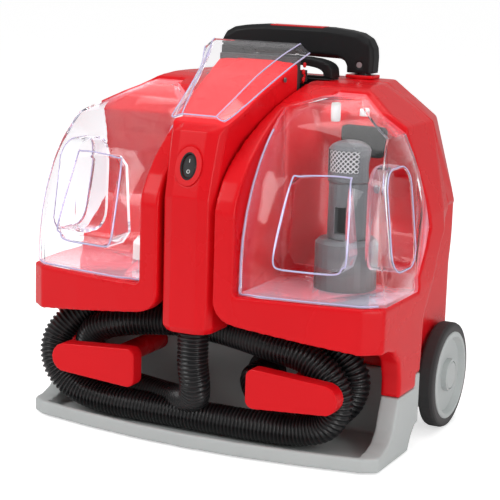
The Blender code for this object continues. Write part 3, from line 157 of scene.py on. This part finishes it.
def tube(name, line, radii, sides=24):
    """A closed tube along a line of points, with its own radius at each of them."""
    points, faces = [], []
    ahead = (line[1] - line[0]).normalized()
    across = ahead.orthogonal().normalized()
    for i, centre in enumerate(line):
        turn = (line[min(i + 1, len(line) - 1)] - line[max(i - 1, 0)]).normalized()
        across = (across - turn * across.dot(turn)).normalized()
        other = turn.cross(across)
        for k in range(sides):
            angle = 2 * math.pi * k / sides
            points.append(centre + (across * math.cos(angle) + other * math.sin(angle)) * radii[i])
    for i in range(len(line) - 1):
        for k in range(sides):
            low, after = i * sides, (k + 1) % sides
            faces.append((low + k, low + after, low + sides + after, low + sides + k))
    faces.append(list(reversed(range(sides))))
    faces.append([(len(line) - 1) * sides + k for k in range(sides)])
    piece = new_piece(name, mesh_of(name, points, faces))
    piece.data.shade_smooth()
    return piece

# %% [markdown]
# The hose's radius rises and falls along the line, five rings of points to each rib. The line is
# divided so that a whole number of ribs fits. The hose stays with the machine, as it is wound
# round the pads, and its far end is fixed in the socket.

# %% Ribbed hose
RIB_PITCH, RIB_DEPTH = 0.0042, 0.0022
rib_count = round(hose_length / RIB_PITCH)
rib_shape = (0.0, 0.25, 1.0, 1.0, 0.25)
hose_line = through(HOSE_ROUTE, hose_length / (rib_count * len(rib_shape)))
rib_radii = [HOSE_DIAMETER / 2 - RIB_DEPTH * (1 - rib_shape[i % len(rib_shape)])
             for i in range(len(hose_line))]
hose = tube("ribbed_hose", hose_line, rib_radii)
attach(hose, "machine")
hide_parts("hose")
[tuple(p) for p in through(HOSE_ROUTE, 0.01)]
print(rib_count, "ribs,", len(hose.data.vertices), "points")

# %% [markdown]
# ## Surface effects
# Every moulded plastic here shows the same two things up close: a fine grain left by the mould, and
# a slight unevenness in colour and gloss where it has been handled. Each could be drawn again in
# every material. They are node groups instead, built once, so that each material only sets its own
# amounts.


# %% Node group helper
def node_group(name, inputs, outputs):
    """A shader group with its sockets, and its own input and output nodes."""
    group = bpy.data.node_groups.new(name, "ShaderNodeTree")
    for label, kind, value in inputs:
        socket = group.interface.new_socket(name=label, in_out="INPUT", socket_type=kind)
        socket.default_value = value
    for label, kind in outputs:
        group.interface.new_socket(name=label, in_out="OUTPUT", socket_type=kind)
    return group, group.nodes.new("NodeGroupInput"), group.nodes.new("NodeGroupOutput")


def link(tree, source, target):
    tree.links.new(source, target)


def noise(tree, coordinates, scale, detail=2.0):
    """A noise texture. scale is a number or a socket."""
    node = tree.nodes.new("ShaderNodeTexNoise")
    node.inputs["Detail"].default_value = detail
    link(tree, coordinates, node.inputs["Vector"])
    if isinstance(scale, (int, float)):
        node.inputs["Scale"].default_value = scale
    else:
        link(tree, scale, node.inputs["Scale"])
    return node.outputs["Fac"]


def spread(tree, value, low, high, new_low, new_high):
    """Maps a range of values onto another one. Each end is a number or a socket."""
    node = tree.nodes.new("ShaderNodeMapRange")
    link(tree, value, node.inputs["Value"])
    ends = {"From Min": low, "From Max": high, "To Min": new_low, "To Max": new_high}
    for label, end in ends.items():
        if isinstance(end, (int, float)):
            node.inputs[label].default_value = end
        else:
            link(tree, end, node.inputs[label])
    return node.outputs["Result"]

# %% [markdown]
# The grain mixes two noises: a fine one for the mould's texture, and a broad one that makes large
# faces a little uneven, as moulded faces are.

# %% Moulded grain
def build_grain():
    group, given, result = node_group(
        "moulded_grain",
        [("Scale", "NodeSocketFloat", 900.0), ("Waviness", "NodeSocketFloat", 0.5)],
        [("Height", "NodeSocketFloat")])
    place = group.nodes.new("ShaderNodeTexCoord").outputs["Object"]
    fine = noise(group, place, given.outputs["Scale"])
    broad = noise(group, place, 28.0, 1.0)
    both = group.nodes.new("ShaderNodeMix")
    link(group, given.outputs["Waviness"], both.inputs[0])
    link(group, fine, both.inputs[2])
    link(group, broad, both.inputs[3])
    link(group, both.outputs[0], result.inputs["Height"])
    return group

# %% [markdown]
# Handling changes both colour and gloss, so this group gives both. Pointiness finds the edges,
# which wear paler.

# %% Handling marks
def build_handling():
    """Colour and roughness that drift a little over the surface, with paler worn edges."""
    group, given, result = node_group(
        "handling",
        [("Colour", "NodeSocketColor", (0.5, 0.5, 0.5, 1)), ("Roughness", "NodeSocketFloat", 0.4),
         ("Drift", "NodeSocketFloat", 0.1), ("Edge Wear", "NodeSocketFloat", 0.2)],
        [("Colour", "NodeSocketColor"), ("Roughness", "NodeSocketFloat")])
    place = group.nodes.new("ShaderNodeTexCoord").outputs["Object"]
    clouds = noise(group, place, 11.0, 4.0)
    shade = group.nodes.new("ShaderNodeHueSaturation")
    shade.inputs["Saturation"].default_value = 1.0
    link(group, given.outputs["Colour"], shade.inputs["Color"])
    drift_low = group.nodes.new("ShaderNodeMath")
    drift_low.operation = "SUBTRACT"
    drift_low.inputs[0].default_value = 1.0
    link(group, given.outputs["Drift"], drift_low.inputs[1])
    link(group, spread(group, clouds, 0.3, 0.7, drift_low.outputs[0], 1.0), shade.inputs["Value"])
    edges = group.nodes.new("ShaderNodeNewGeometry").outputs["Pointiness"]
    worn = spread(group, edges, 0.53, 0.62, 0.0, given.outputs["Edge Wear"])
    pale = group.nodes.new("ShaderNodeMix")
    pale.data_type = "RGBA"
    pale.blend_type = "SCREEN"
    link(group, worn, pale.inputs[0])
    link(group, shade.outputs["Color"], pale.inputs[6])
    pale.inputs[7].default_value = (0.35, 0.33, 0.33, 1)
    link(group, pale.outputs[2], result.inputs["Colour"])
    rougher = group.nodes.new("ShaderNodeMath")
    rougher.operation = "MULTIPLY_ADD"
    link(group, spread(group, clouds, 0.25, 0.75, -1.0, 1.0), rougher.inputs[0])
    link(group, given.outputs["Drift"], rougher.inputs[1])
    link(group, given.outputs["Roughness"], rougher.inputs[2])
    link(group, rougher.outputs[0], result.inputs["Roughness"])
    return group


GRAIN, HANDLING = build_grain(), build_handling()
print("groups:", GRAIN.name, HANDLING.name)

# %% [markdown]
# ## Plastics, rubber and steel
# The casing is glossy red moulded plastic, the base a satin light grey, and the handles a finely
# grained black. One function makes them all: a Principled shader takes its colour and roughness
# from the handling group, and its bump from the grain.


# %% Moulded materials
def place_group(tree, group, values):
    node = tree.nodes.new("ShaderNodeGroup")
    node.node_tree = group
    for label, value in values.items():
        node.inputs[label].default_value = value
    return node


def moulded(name, colour, roughness, grain=900.0, depth=0.00003, waviness=0.3, drift=0.05,
            wear=0.15, metallic=0.0, shine=0.4):
    material = bpy.data.materials.new(name)
    material.use_nodes = True
    tree = material.node_tree
    shader = tree.nodes["Principled BSDF"]
    shader.inputs["Metallic"].default_value = metallic
    shader.inputs["Specular IOR Level"].default_value = shine
    amounts = {"Colour": (*colour, 1), "Roughness": roughness, "Drift": drift, "Edge Wear": wear}
    marks = place_group(tree, HANDLING, amounts)
    link(tree, marks.outputs["Colour"], shader.inputs["Base Color"])
    link(tree, marks.outputs["Roughness"], shader.inputs["Roughness"])
    skin = place_group(tree, GRAIN, {"Scale": grain, "Waviness": waviness})
    bump = tree.nodes.new("ShaderNodeBump")
    bump.inputs["Distance"].default_value = depth
    link(tree, skin.outputs["Height"], bump.inputs["Height"])
    link(tree, bump.outputs["Normal"], shader.inputs["Normal"])
    return material


RED = moulded("red_gloss", (0.80, 0.006, 0.012), 0.28, 1400, 0.00002, 0.7, 0.05, 0.05, shine=0.20)
GREY = moulded("grey_satin", (0.56, 0.59, 0.585), 0.46, 1100, 0.00004, 0.3, 0.05, 0.10)
BLACK = moulded("black_grained", (0.010, 0.010, 0.011), 0.45, 700, 0.00010, 0.1, 0.05, 0.12,
                shine=0.22)
HOSE_BLACK = moulded("black_hose", (0.010, 0.010, 0.011), 0.28, 900, 0.00003, 0.3, 0.08, 0.10,
                     shine=0.35)
RUBBER = moulded("tyre_rubber", (0.016, 0.016, 0.017), 0.66, 500, 0.00014, 0.2, 0.10, 0.30)
SMOKE = moulded("dark_grey", (0.10, 0.105, 0.11), 0.35, 900, 0.00003, 0.3, 0.05, 0.15)
STEEL = moulded("drawn_steel", (0.62, 0.63, 0.64), 0.28, 1800, 0.00002, 0.1, 0.06, 0.0,
                metallic=1.0)
DARK_TUBE = moulded("dark_tube", (0.035, 0.036, 0.04), 0.25, 1800, 0.00002, 0.1, 0.06, 0.1,
                    metallic=0.7)
FOAM = moulded("black_foam", (0.003, 0.003, 0.003), 0.9, 300, 0.0003, 0.1, 0.0, 0.0, shine=0.0)
WHITE = moulded("white_plastic", (0.82, 0.82, 0.80), 0.40, 900, 0.00003, 0.3, 0.04, 0.0)
print("made", len(bpy.data.materials), "materials")

# %% [markdown]
# ## Inlet screen
# The standpipe's window is closed by a diamond mesh. Two Wave textures, turned 45 degrees, draw its
# wires, and the darker of the two colours is painted shade: the dark seen through the holes between
# them.


# %% Diamond weave
def build_weave():
    group, given, result = node_group(
        "diamond_weave", [("Scale", "NodeSocketFloat", 90.0)], [("Wires", "NodeSocketFloat")])
    place = group.nodes.new("ShaderNodeTexCoord").outputs["Object"]
    turned = group.nodes.new("ShaderNodeVectorRotate")
    turned.rotation_type = "Y_AXIS"
    turned.inputs["Angle"].default_value = math.pi / 4
    link(group, place, turned.inputs["Vector"])
    wires = group.nodes.new("ShaderNodeMath")
    wires.operation = "MAXIMUM"
    for i, direction in enumerate(("X", "Z")):
        wave = group.nodes.new("ShaderNodeTexWave")
        wave.bands_direction = direction
        link(group, turned.outputs[0], wave.inputs["Vector"])
        link(group, given.outputs["Scale"], wave.inputs["Scale"])
        link(group, wave.outputs["Fac"], wires.inputs[i])
    link(group, spread(group, wires.outputs[0], 0.78, 0.90, 0.0, 1.0), result.inputs["Wires"])
    return group


def mesh_screen(wire, hole_shade):
    material = moulded("mesh_screen", wire, 0.4)
    tree = material.node_tree
    shader = tree.nodes["Principled BSDF"]
    weave = place_group(tree, build_weave(), {"Scale": 90.0})
    mix = tree.nodes.new("ShaderNodeMix")
    mix.data_type = "RGBA"
    link(tree, weave.outputs["Wires"], mix.inputs[0])
    # Painted shade: the holes get a near-black colour for the dark inside seen through them.
    mix.inputs[6].default_value = (*hole_shade, 1)
    mix.inputs[7].default_value = (*wire, 1)
    link(tree, mix.outputs[2], shader.inputs["Base Color"])
    return material


MESH = mesh_screen((0.55, 0.55, 0.56), (0.03, 0.03, 0.03))
print("screen ready")

# %% [markdown]
# ## Clear plastic
# The tanks and the hood are clear. Real walls this thin hardly bend what is seen through them, so
# the body of the material has a low IOR, and a coat with the true one gives the reflections.
# Moulded plastic looks milky where light runs along a wall, and that light is painted in: Layer
# Weight adds a pale violet emission at grazing angles, a painted highlight. A Light Path node lets
# shadow rays pass, or the inside of a tank would go black.


# %% Clear material
def clear_plastic(name, tint, roughness, glow, coat=0.45):
    material = bpy.data.materials.new(name)
    material.use_nodes = True
    tree = material.node_tree
    shader = tree.nodes["Principled BSDF"]
    shader.inputs["Base Color"].default_value = (*tint, 1)
    shader.inputs["Roughness"].default_value = roughness
    shader.inputs["IOR"].default_value = 1.12
    shader.inputs["Transmission Weight"].default_value = 1.0
    shader.inputs["Coat Weight"].default_value = coat
    shader.inputs["Coat IOR"].default_value = 1.50
    shader.inputs["Coat Roughness"].default_value = 0.05
    skin = place_group(tree, GRAIN, {"Scale": 60.0, "Waviness": 0.8})
    bump = tree.nodes.new("ShaderNodeBump")
    bump.inputs["Distance"].default_value = 0.00006
    link(tree, skin.outputs["Height"], bump.inputs["Height"])
    link(tree, bump.outputs["Normal"], shader.inputs["Normal"])
    link(tree, bump.outputs["Normal"], shader.inputs["Coat Normal"])
    # Painted highlight: a pale violet emission that rises towards grazing angles, so the clear
    # walls' edges glow though they are no lamp.
    facing = tree.nodes.new("ShaderNodeLayerWeight")
    facing.inputs["Blend"].default_value = 0.35
    shader.inputs["Emission Color"].default_value = (0.86, 0.83, 1.0, 1)
    painted_edge_highlight = spread(tree, facing.outputs["Facing"], 0.50, 1.0, 0.0, glow)
    link(tree, painted_edge_highlight, shader.inputs["Emission Strength"])
    through_it = tree.nodes.new("ShaderNodeBsdfTransparent")
    through_it.inputs["Color"].default_value = (*tint, 1)
    path = tree.nodes.new("ShaderNodeLightPath")
    mix = tree.nodes.new("ShaderNodeMixShader")
    link(tree, path.outputs["Is Shadow Ray"], mix.inputs[0])
    link(tree, shader.outputs[0], mix.inputs[1])
    link(tree, through_it.outputs[0], mix.inputs[2])
    link(tree, mix.outputs[0], tree.nodes["Material Output"].inputs["Surface"])
    return material


CLEAR = clear_plastic("clear_tank", (0.985, 0.98, 0.995), 0.02, 0.45)
CLEAR_HOOD = clear_plastic("clear_hood", (0.985, 0.965, 0.985), 0.03, 0.50, coat=1.0)
# Painted highlight: the rims' opaque pale violet stands for light caught in the edges of clear
# plastic.
PAINTED_RIM_HIGHLIGHT = moulded("violet_rim_painted_highlight", (0.60, 0.56, 0.82), 0.22, 900, 0.00001, 0.5, 0.05, 0.0)
print("clear plastic ready")

# %% [markdown]
# ## Softer edges
# The working parts have sharp edges, and a moulded part never does. A Bevel modifier rounds edges,
# but it fails where cuts have left thin slivers. A voxel remesh rebuilds the whole skin at one
# fineness, and a few rounds of smoothing then soften each edge by about that much.


# %% Soft-edged copies
def copy_of(node, name):
    piece = new_piece(name, nodes[node].data.copy())
    piece.data.transform(nodes[node].matrix_world)
    piece.data.materials.clear()
    return piece


def applied(piece):
    """Turns the piece's modifiers into its own mesh."""
    bpy.context.view_layer.update()
    seen = piece.evaluated_get(bpy.context.evaluated_depsgraph_get())
    mesh = bpy.data.meshes.new_from_object(seen)
    piece.modifiers.clear()
    piece.data = mesh
    return piece


def softened(node, body, material, slot, voxel=0.0016, rounds=6):
    piece = copy_of(node, "soft_" + node)
    remesh = piece.modifiers.new("remesh", "REMESH")
    remesh.mode = "VOXEL"
    remesh.voxel_size = voxel
    remesh.use_smooth_shade = True
    even = piece.modifiers.new("even", "SMOOTH")
    even.factor = 0.5
    even.iterations = rounds
    applied(piece)
    piece.data.shade_smooth()
    return settle(piece, body, material, slot, node)


def settle(piece, body, material, slot, *stands_for):
    """Gives a piece its material, its body and the parts that it stands for."""
    piece.data.materials.clear()
    piece.data.materials.append(material)
    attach(piece, body)
    if stands_for:
        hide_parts(*stands_for)
    return piece


hose.data.materials.append(HOSE_BLACK)
print("helpers for soft edges ready")

# %% [markdown]
# Each row names a part, its body, its material and slot, the fineness of the remesh in metres, and
# how many rounds of smoothing it gets.

# %% Soft parts
SOFT_PARTS = (
    ("front_shell", "machine", RED, "red_plastic", 0.0017, 7),
    ("rear_shell", "machine", RED, "red_plastic", 0.0017, 7),
    ("base_tray", "machine", GREY, "grey_plastic", 0.0016, 6),
    ("tool_body", "hand_tool", RED, "red_plastic", 0.0010, 8),
    ("handle_grip", "handle", BLACK, "black_plastic", 0.0009, 4),
    ("hose_pad_left", "machine", RED, "red_plastic", 0.0009, 12),
    ("hose_pad_right", "machine", RED, "red_plastic", 0.0009, 12),
    ("carry_handle", "machine", BLACK, "black_plastic", 0.0008, 10),
    ("handle_tub", "machine", BLACK, "black_plastic", 0.0009, 4),
    ("handle_guide_left", "machine", RED, "red_plastic", 0.0008, 6),
    ("handle_guide_right", "machine", RED, "red_plastic", 0.0008, 6),
)
for node, body, material, slot_name, voxel, rounds in SOFT_PARTS:
    piece = softened(node, body, material, slot_name, voxel, rounds)
    print(piece.name, len(piece.data.polygons), "faces")

# %% [markdown]
# A tank's wall is only 2.5 mm thick, too thin for the remesh. Its edges are clean enough to be
# beveled.


# %% Tanks
def beveled(node, body, material, slot, width, segments=2):
    piece = copy_of(node, "soft_" + node)
    joined = piece.modifiers.new("joined", "WELD")
    joined.merge_threshold = 0.00002
    edge = piece.modifiers.new("edge", "BEVEL")
    edge.width, edge.segments = width, segments
    edge.limit_method = "ANGLE"
    edge.angle_limit = math.radians(24)
    edge.miter_outer = "MITER_ARC"
    applied(piece)
    piece.data.shade_smooth()
    piece.data.set_sharp_from_angle(angle=math.radians(28))
    return settle(piece, body, material, slot, node)


for node in ("clean_tank", "waste_tank"):
    piece = beveled(node, node, CLEAR, "clear_plastic", 0.0009)
    print(piece.name, len(piece.data.polygons), "faces")

# %% [markdown]
# ## The other parts
# Parts whose made shape is already right keep it. They take a material that suits each one.

# %% Materials for the remaining parts
FINISHES = {
    RED: "tool_back_cover rocker_bezel handle_button brush_roller",
    GREY: "hub_left hub_right hub_cap_left hub_cap_right vacuum_fan",
    BLACK: "tool_rocker tool_trigger brush_housing hose_socket hose_cuff cord_gland "
           "exhaust_grille fan_housing water_pump power_switch",
    RUBBER: "foot_left foot_right tyre_left tyre_right",
    SMOKE: "waste_tank_collar standpipe",
    CLEAR_HOOD: "tool_hood",
    FOAM: "outlet_filter",
    STEEL: "axle handle_screw_left handle_screw_right trigger_pin brush_motor vacuum_motor",
    DARK_TUBE: "handle_tube_left handle_tube_right handle_stage_left handle_stage_right",
    MESH: "inlet_screen",
    WHITE: "clean_tank_valve waste_float",
}
for material, names in FINISHES.items():
    for name in names.split():
        slots = nodes[name].material_slots
        if not slots:
            nodes[name].data.materials.append(material)
        for place in slots:
            place.material = material
print("finished", sum(len(names.split()) for names in FINISHES.values()), "parts")

# %% [markdown]
# ## Small parts
# A few small things give the machine its scale. None of them is a working part, and each one rides
# on the body that it is fixed to. First come a knob, a post and a boss in the waste tank.


# %% Small parts
def disc(name, place, axis, radius, length, body, material, slot, sides=20):
    ahead = Vector(axis).normalized() * length / 2
    centre = Vector(place)
    line = [centre - ahead, centre - ahead * 0.8, centre + ahead * 0.8, centre + ahead]
    piece = tube(name, line, [radius * 0.85, radius, radius, radius * 0.85], sides)
    return settle(piece, body, material, slot)


UP, ACROSS, BACKWARDS = (0, 0, 1), (1, 0, 0), (0, 1, 0)
disc("tank_knob", (0.1330, -0.0150, 0.3440), UP, 0.0046, 0.0070, "waste_tank", WHITE,
     "white_plastic")
disc("tank_post", (0.1040, -0.0200, 0.3430), UP, 0.0050, 0.0190, "waste_tank", WHITE,
     "clear_plastic")
disc("tank_boss", (0.1440, -0.0060, 0.2650), BACKWARDS, 0.0040, 0.0050, "waste_tank", SMOKE,
     "clear_plastic")
print("tank fittings placed")

# %% [markdown]
# The rocker sits on a face that leans back, so everything on it is placed by height alone. The "on"
# mark is a bar and the "off" mark a ring. A black frame goes round the rocker.

# %% Marks on the rocker
FACE_LEAN, FACE_FRONT, FACE_FOOT = 0.266, -0.1450, 0.2620
MARK_RISE, MARK_PROUD, MARK_THICK = 0.0052, 0.0002, 0.0004
BAR_LENGTH, RING_RADIUS = 0.0036, 0.0016
ROCKER_HEIGHT = sum(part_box("tool_rocker"), Vector()).z / 2


def face_y(z):
    return FACE_FRONT + (z - FACE_FOOT) * FACE_LEAN


def ring_on_face(half, tall, height, lift, steps):
    """A closed oval on the leaning face, as far above it as lift says."""
    points = []
    for i in range(steps + 1):
        angle = 2 * math.pi * i / steps
        z = height + tall * math.sin(angle)
        points.append(Vector((half * math.cos(angle), face_y(z) - lift, z)))
    return points


bar = ROCKER_HEIGHT + MARK_RISE
disc("mark_on", (0, face_y(bar) - MARK_PROUD, bar), (0, FACE_LEAN, 1), MARK_THICK, BAR_LENGTH,
     "tool_rocker", WHITE, "white_plastic", 8)
circle = ring_on_face(RING_RADIUS, RING_RADIUS, ROCKER_HEIGHT - MARK_RISE, MARK_PROUD, 18)
settle(tube("mark_off", circle, [MARK_THICK] * 19, 8), "tool_rocker", WHITE, "white_plastic")
frame_line = ring_on_face(0.0080, 0.0125, ROCKER_HEIGHT, 0.0010, 40)
settle(tube("rocker_frame", frame_line, [0.0012] * 41, 10), "hand_tool", BLACK, "black_plastic")
print("rocker marked at", round(ROCKER_HEIGHT, 4))

# %% [markdown]
# A screw holds each side of the brush housing, and the roller's outermost tufts stand out past its
# right end. They turn with the roller.

# %% Brush details
BRUSH_AXIS_Y, BRUSH_AXIS_Z = 0.0310, 0.3720
for side, word in ((-1, "left"), (1, "right")):
    disc("head_screw_" + word, (side * 0.0445, -0.0160, 0.3710), ACROSS, 0.0026, 0.0016,
         "hand_tool", SMOKE, "steel")
for back, rise in ((-0.0045, 0.0120), (-0.0070, 0.0050), (-0.0070, -0.0030)):
    disc("end_tuft", (0.0464, BRUSH_AXIS_Y + back, BRUSH_AXIS_Z + rise), ACROSS, 0.0027, 0.0020,
         "brush", RED, "red_plastic", 10)
print("brush details placed")

# %% [markdown]
# ## Rims of the clear parts
# The clear mouldings end in a rounded rim, and the violet light that it catches is painted on it as
# an
# opaque pale violet colour: round each tank's two pockets, along its inner and lower edges, and
# along the hood. Each rim is a fine tube whose path is found by casting rays onto the tank, so it
# follows the curved front.

# %% Rims
def cast(surface, start, direction):
    place, _, _, _ = surface.ray_cast(Vector(start), Vector(direction))
    return place


def rim(name, points, body, radius, closed=False):
    points = [p for p in points if p is not None]
    if closed:
        points.append(points[0])
    line = through(points, 0.0015)
    settle(tube(name, line, [radius] * len(line), 8), body, PAINTED_RIM_HIGHLIGHT, "clear_plastic")
    return len(line)


print("rim helpers ready")

# %% [markdown]
# The finger pocket's outline is a rounded trapezium, and the thumb pocket's a rectangle with round
# corners. Both are drawn a little outside the pocket, so that each ray meets the wall around it.

# %% Rims of the tanks
FINGER_OUTLINE = ((0.1010, 0.1988), (0.1500, 0.1988), (0.1596, 0.2052), (0.1632, 0.2160),
                  (0.1552, 0.2812), (0.1496, 0.2892), (0.1050, 0.2872), (0.0958, 0.2794),
                  (0.0913, 0.2100))
THUMB_Y, THUMB_Z, CORNER_RADIUS = -0.0470, 0.2460, 0.0216
CORNERS = ((0.0110, 0.0290), (-0.0110, 0.0290), (-0.0110, -0.0290), (0.0110, -0.0290))
thumb_outline = []
for corner, (across, up) in enumerate(CORNERS):
    for step in range(6):
        angle = math.pi / 2 * (corner + step / 5)
        thumb_outline.append((THUMB_Y + across + CORNER_RADIUS * math.cos(angle),
                              THUMB_Z + up + CORNER_RADIUS * math.sin(angle)))
OUTSIDE, INNER_X, LOW_Z = 0.3, 0.0560, 0.1700
for side, body in ((-1, "clean_tank"), (1, "waste_tank")):
    tank = bpy.data.objects["soft_" + body]
    surface = BVHTree.FromObject(tank, bpy.context.evaluated_depsgraph_get())

    def front(x, z):
        return cast(surface, (side * x, -OUTSIDE, z), BACKWARDS)

    finger = [front(x, z) for x, z in FINGER_OUTLINE]
    thumb = [cast(surface, (side * OUTSIDE, y, z), (-side, 0, 0)) for y, z in thumb_outline]
    inner = [front(INNER_X, LOW_Z + 0.0120 * i) for i in range(13, -1, -1)]
    low = [front(INNER_X + 0.0125 * i, LOW_Z) for i in range(1, 12)]
    print(body, rim("finger_rim_" + body, finger, body, 0.0009, True),
          rim("thumb_rim_" + body, thumb, body, 0.0007, True),
          rim("edge_rim_" + body, inner + low, body, 0.0010), "points")

# %% [markdown]
# The hood's rims run along its upper edges, its feet and its front. Each row gives the distance
# back, the height, the half widths at top and foot, and how far the foot lies below the top.

# %% Rims of the hood
HOOD_BASE = 0.2500
HOOD = ((-0.1190, 0.0905, 0.0190, 0.0300, 0.0030), (-0.0900, 0.1080, 0.0255, 0.0360, 0.0080),
        (-0.0560, 0.1280, 0.0325, 0.0420, 0.0120), (-0.0240, 0.1445, 0.0410, 0.0490, 0.0130),
        (-0.0040, 0.1540, 0.0480, 0.0570, 0.0110), (0.0060, 0.1575, 0.0500, 0.0610, 0.0090))
for side in (-1, 1):
    top = [Vector((side * wide, y, HOOD_BASE + rise)) for y, rise, wide, _, _ in HOOD]
    foot = [Vector((side * wide, y, HOOD_BASE + rise - drop)) for y, rise, _, wide, drop in HOOD]
    rim("hood_top_rim", top, "hand_tool", 0.0007)
    rim("hood_foot_rim", foot[::-1] + [top[0]], "hand_tool", 0.0008)
front_y, front_rise, front_half = HOOD[0][:3]
front_line = [Vector((front_half * i / 3, front_y, HOOD_BASE + front_rise)) for i in range(-3, 4)]
rim("hood_front_rim", front_line, "hand_tool", 0.0008)
print("hood rims placed")

# %% [markdown]
# ## Floor and light
# A product like this is lit softly on a pale floor. Large area lamps give broad highlights along
# the curved plastic, and a bright world fills the shadows.


# %% Backdrop
SKY_LIGHT, FLOOR_GLOW, FLOOR_SIZE = 0.42, 0.60, 60


def seen_directly(tree):
    """1 for rays straight from the viewer or through clear plastic, so the backdrop stays white."""
    path = tree.nodes.new("ShaderNodeLightPath")
    either = tree.nodes.new("ShaderNodeMath")
    either.operation = "MAXIMUM"
    link(tree, path.outputs["Is Camera Ray"], either.inputs[0])
    link(tree, path.outputs["Is Transmission Ray"], either.inputs[1])
    return either.outputs[0]


def pale_floor():
    bpy.ops.mesh.primitive_plane_add(size=FLOOR_SIZE, location=(0, 0, 0))
    floor = bpy.context.object
    floor.name = "floor"
    material = bpy.data.materials.new("pale_floor")
    material.use_nodes = True
    shader = material.node_tree.nodes["Principled BSDF"]
    shader.inputs["Base Color"].default_value = (0.93, 0.93, 0.93, 1)
    shader.inputs["Roughness"].default_value = 0.6
    shader.inputs["Emission Color"].default_value = (1, 1, 1, 1)
    tree = material.node_tree
    glow = spread(tree, seen_directly(tree), 0.0, 1.0, 0.0, FLOOR_GLOW)
    link(tree, glow, shader.inputs["Emission Strength"])
    floor.data.materials.append(material)


pale_floor()
print("floor laid")

# %% [markdown]
# The key lamp stands high on the left, a narrow one on the right draws the edges of the tank, and a
# third lights the top from straight above.


# %% Lamps
def lamp(name, place, aim, power, wide, high, colour=(1, 1, 1)):
    light = bpy.data.lights.new(name, "AREA")
    light.shape = "RECTANGLE"
    light.energy, light.size, light.size_y, light.color = power, wide, high, colour
    holder = bpy.data.objects.new(name, light)
    holder.location = place
    holder.rotation_mode = "QUATERNION"
    holder.rotation_quaternion = (Vector(aim) - Vector(place)).to_track_quat("-Z", "Y")
    bpy.context.scene.collection.objects.link(holder)


world = bpy.data.worlds.new("studio")
world.use_nodes = True
sky = world.node_tree
sky.nodes["Background"].inputs["Color"].default_value = (1.0, 1.0, 1.0, 1)
strength = spread(sky, seen_directly(sky), 0.0, 1.0, SKY_LIGHT, 1.0)
link(sky, strength, sky.nodes["Background"].inputs["Strength"])
bpy.context.scene.world = world
middle = (0, 0, 0.2)
lamp("key", (-1.3, -1.5, 1.6), middle, 20, 1.2, 1.2)
lamp("side", (1.8, -0.9, 0.7), middle, 11, 0.5, 1.4)
lamp("top", (0.1, 0.1, 2.0), middle, 10, 1.4, 1.0)
bpy.context.scene.view_settings.view_transform = "Standard"
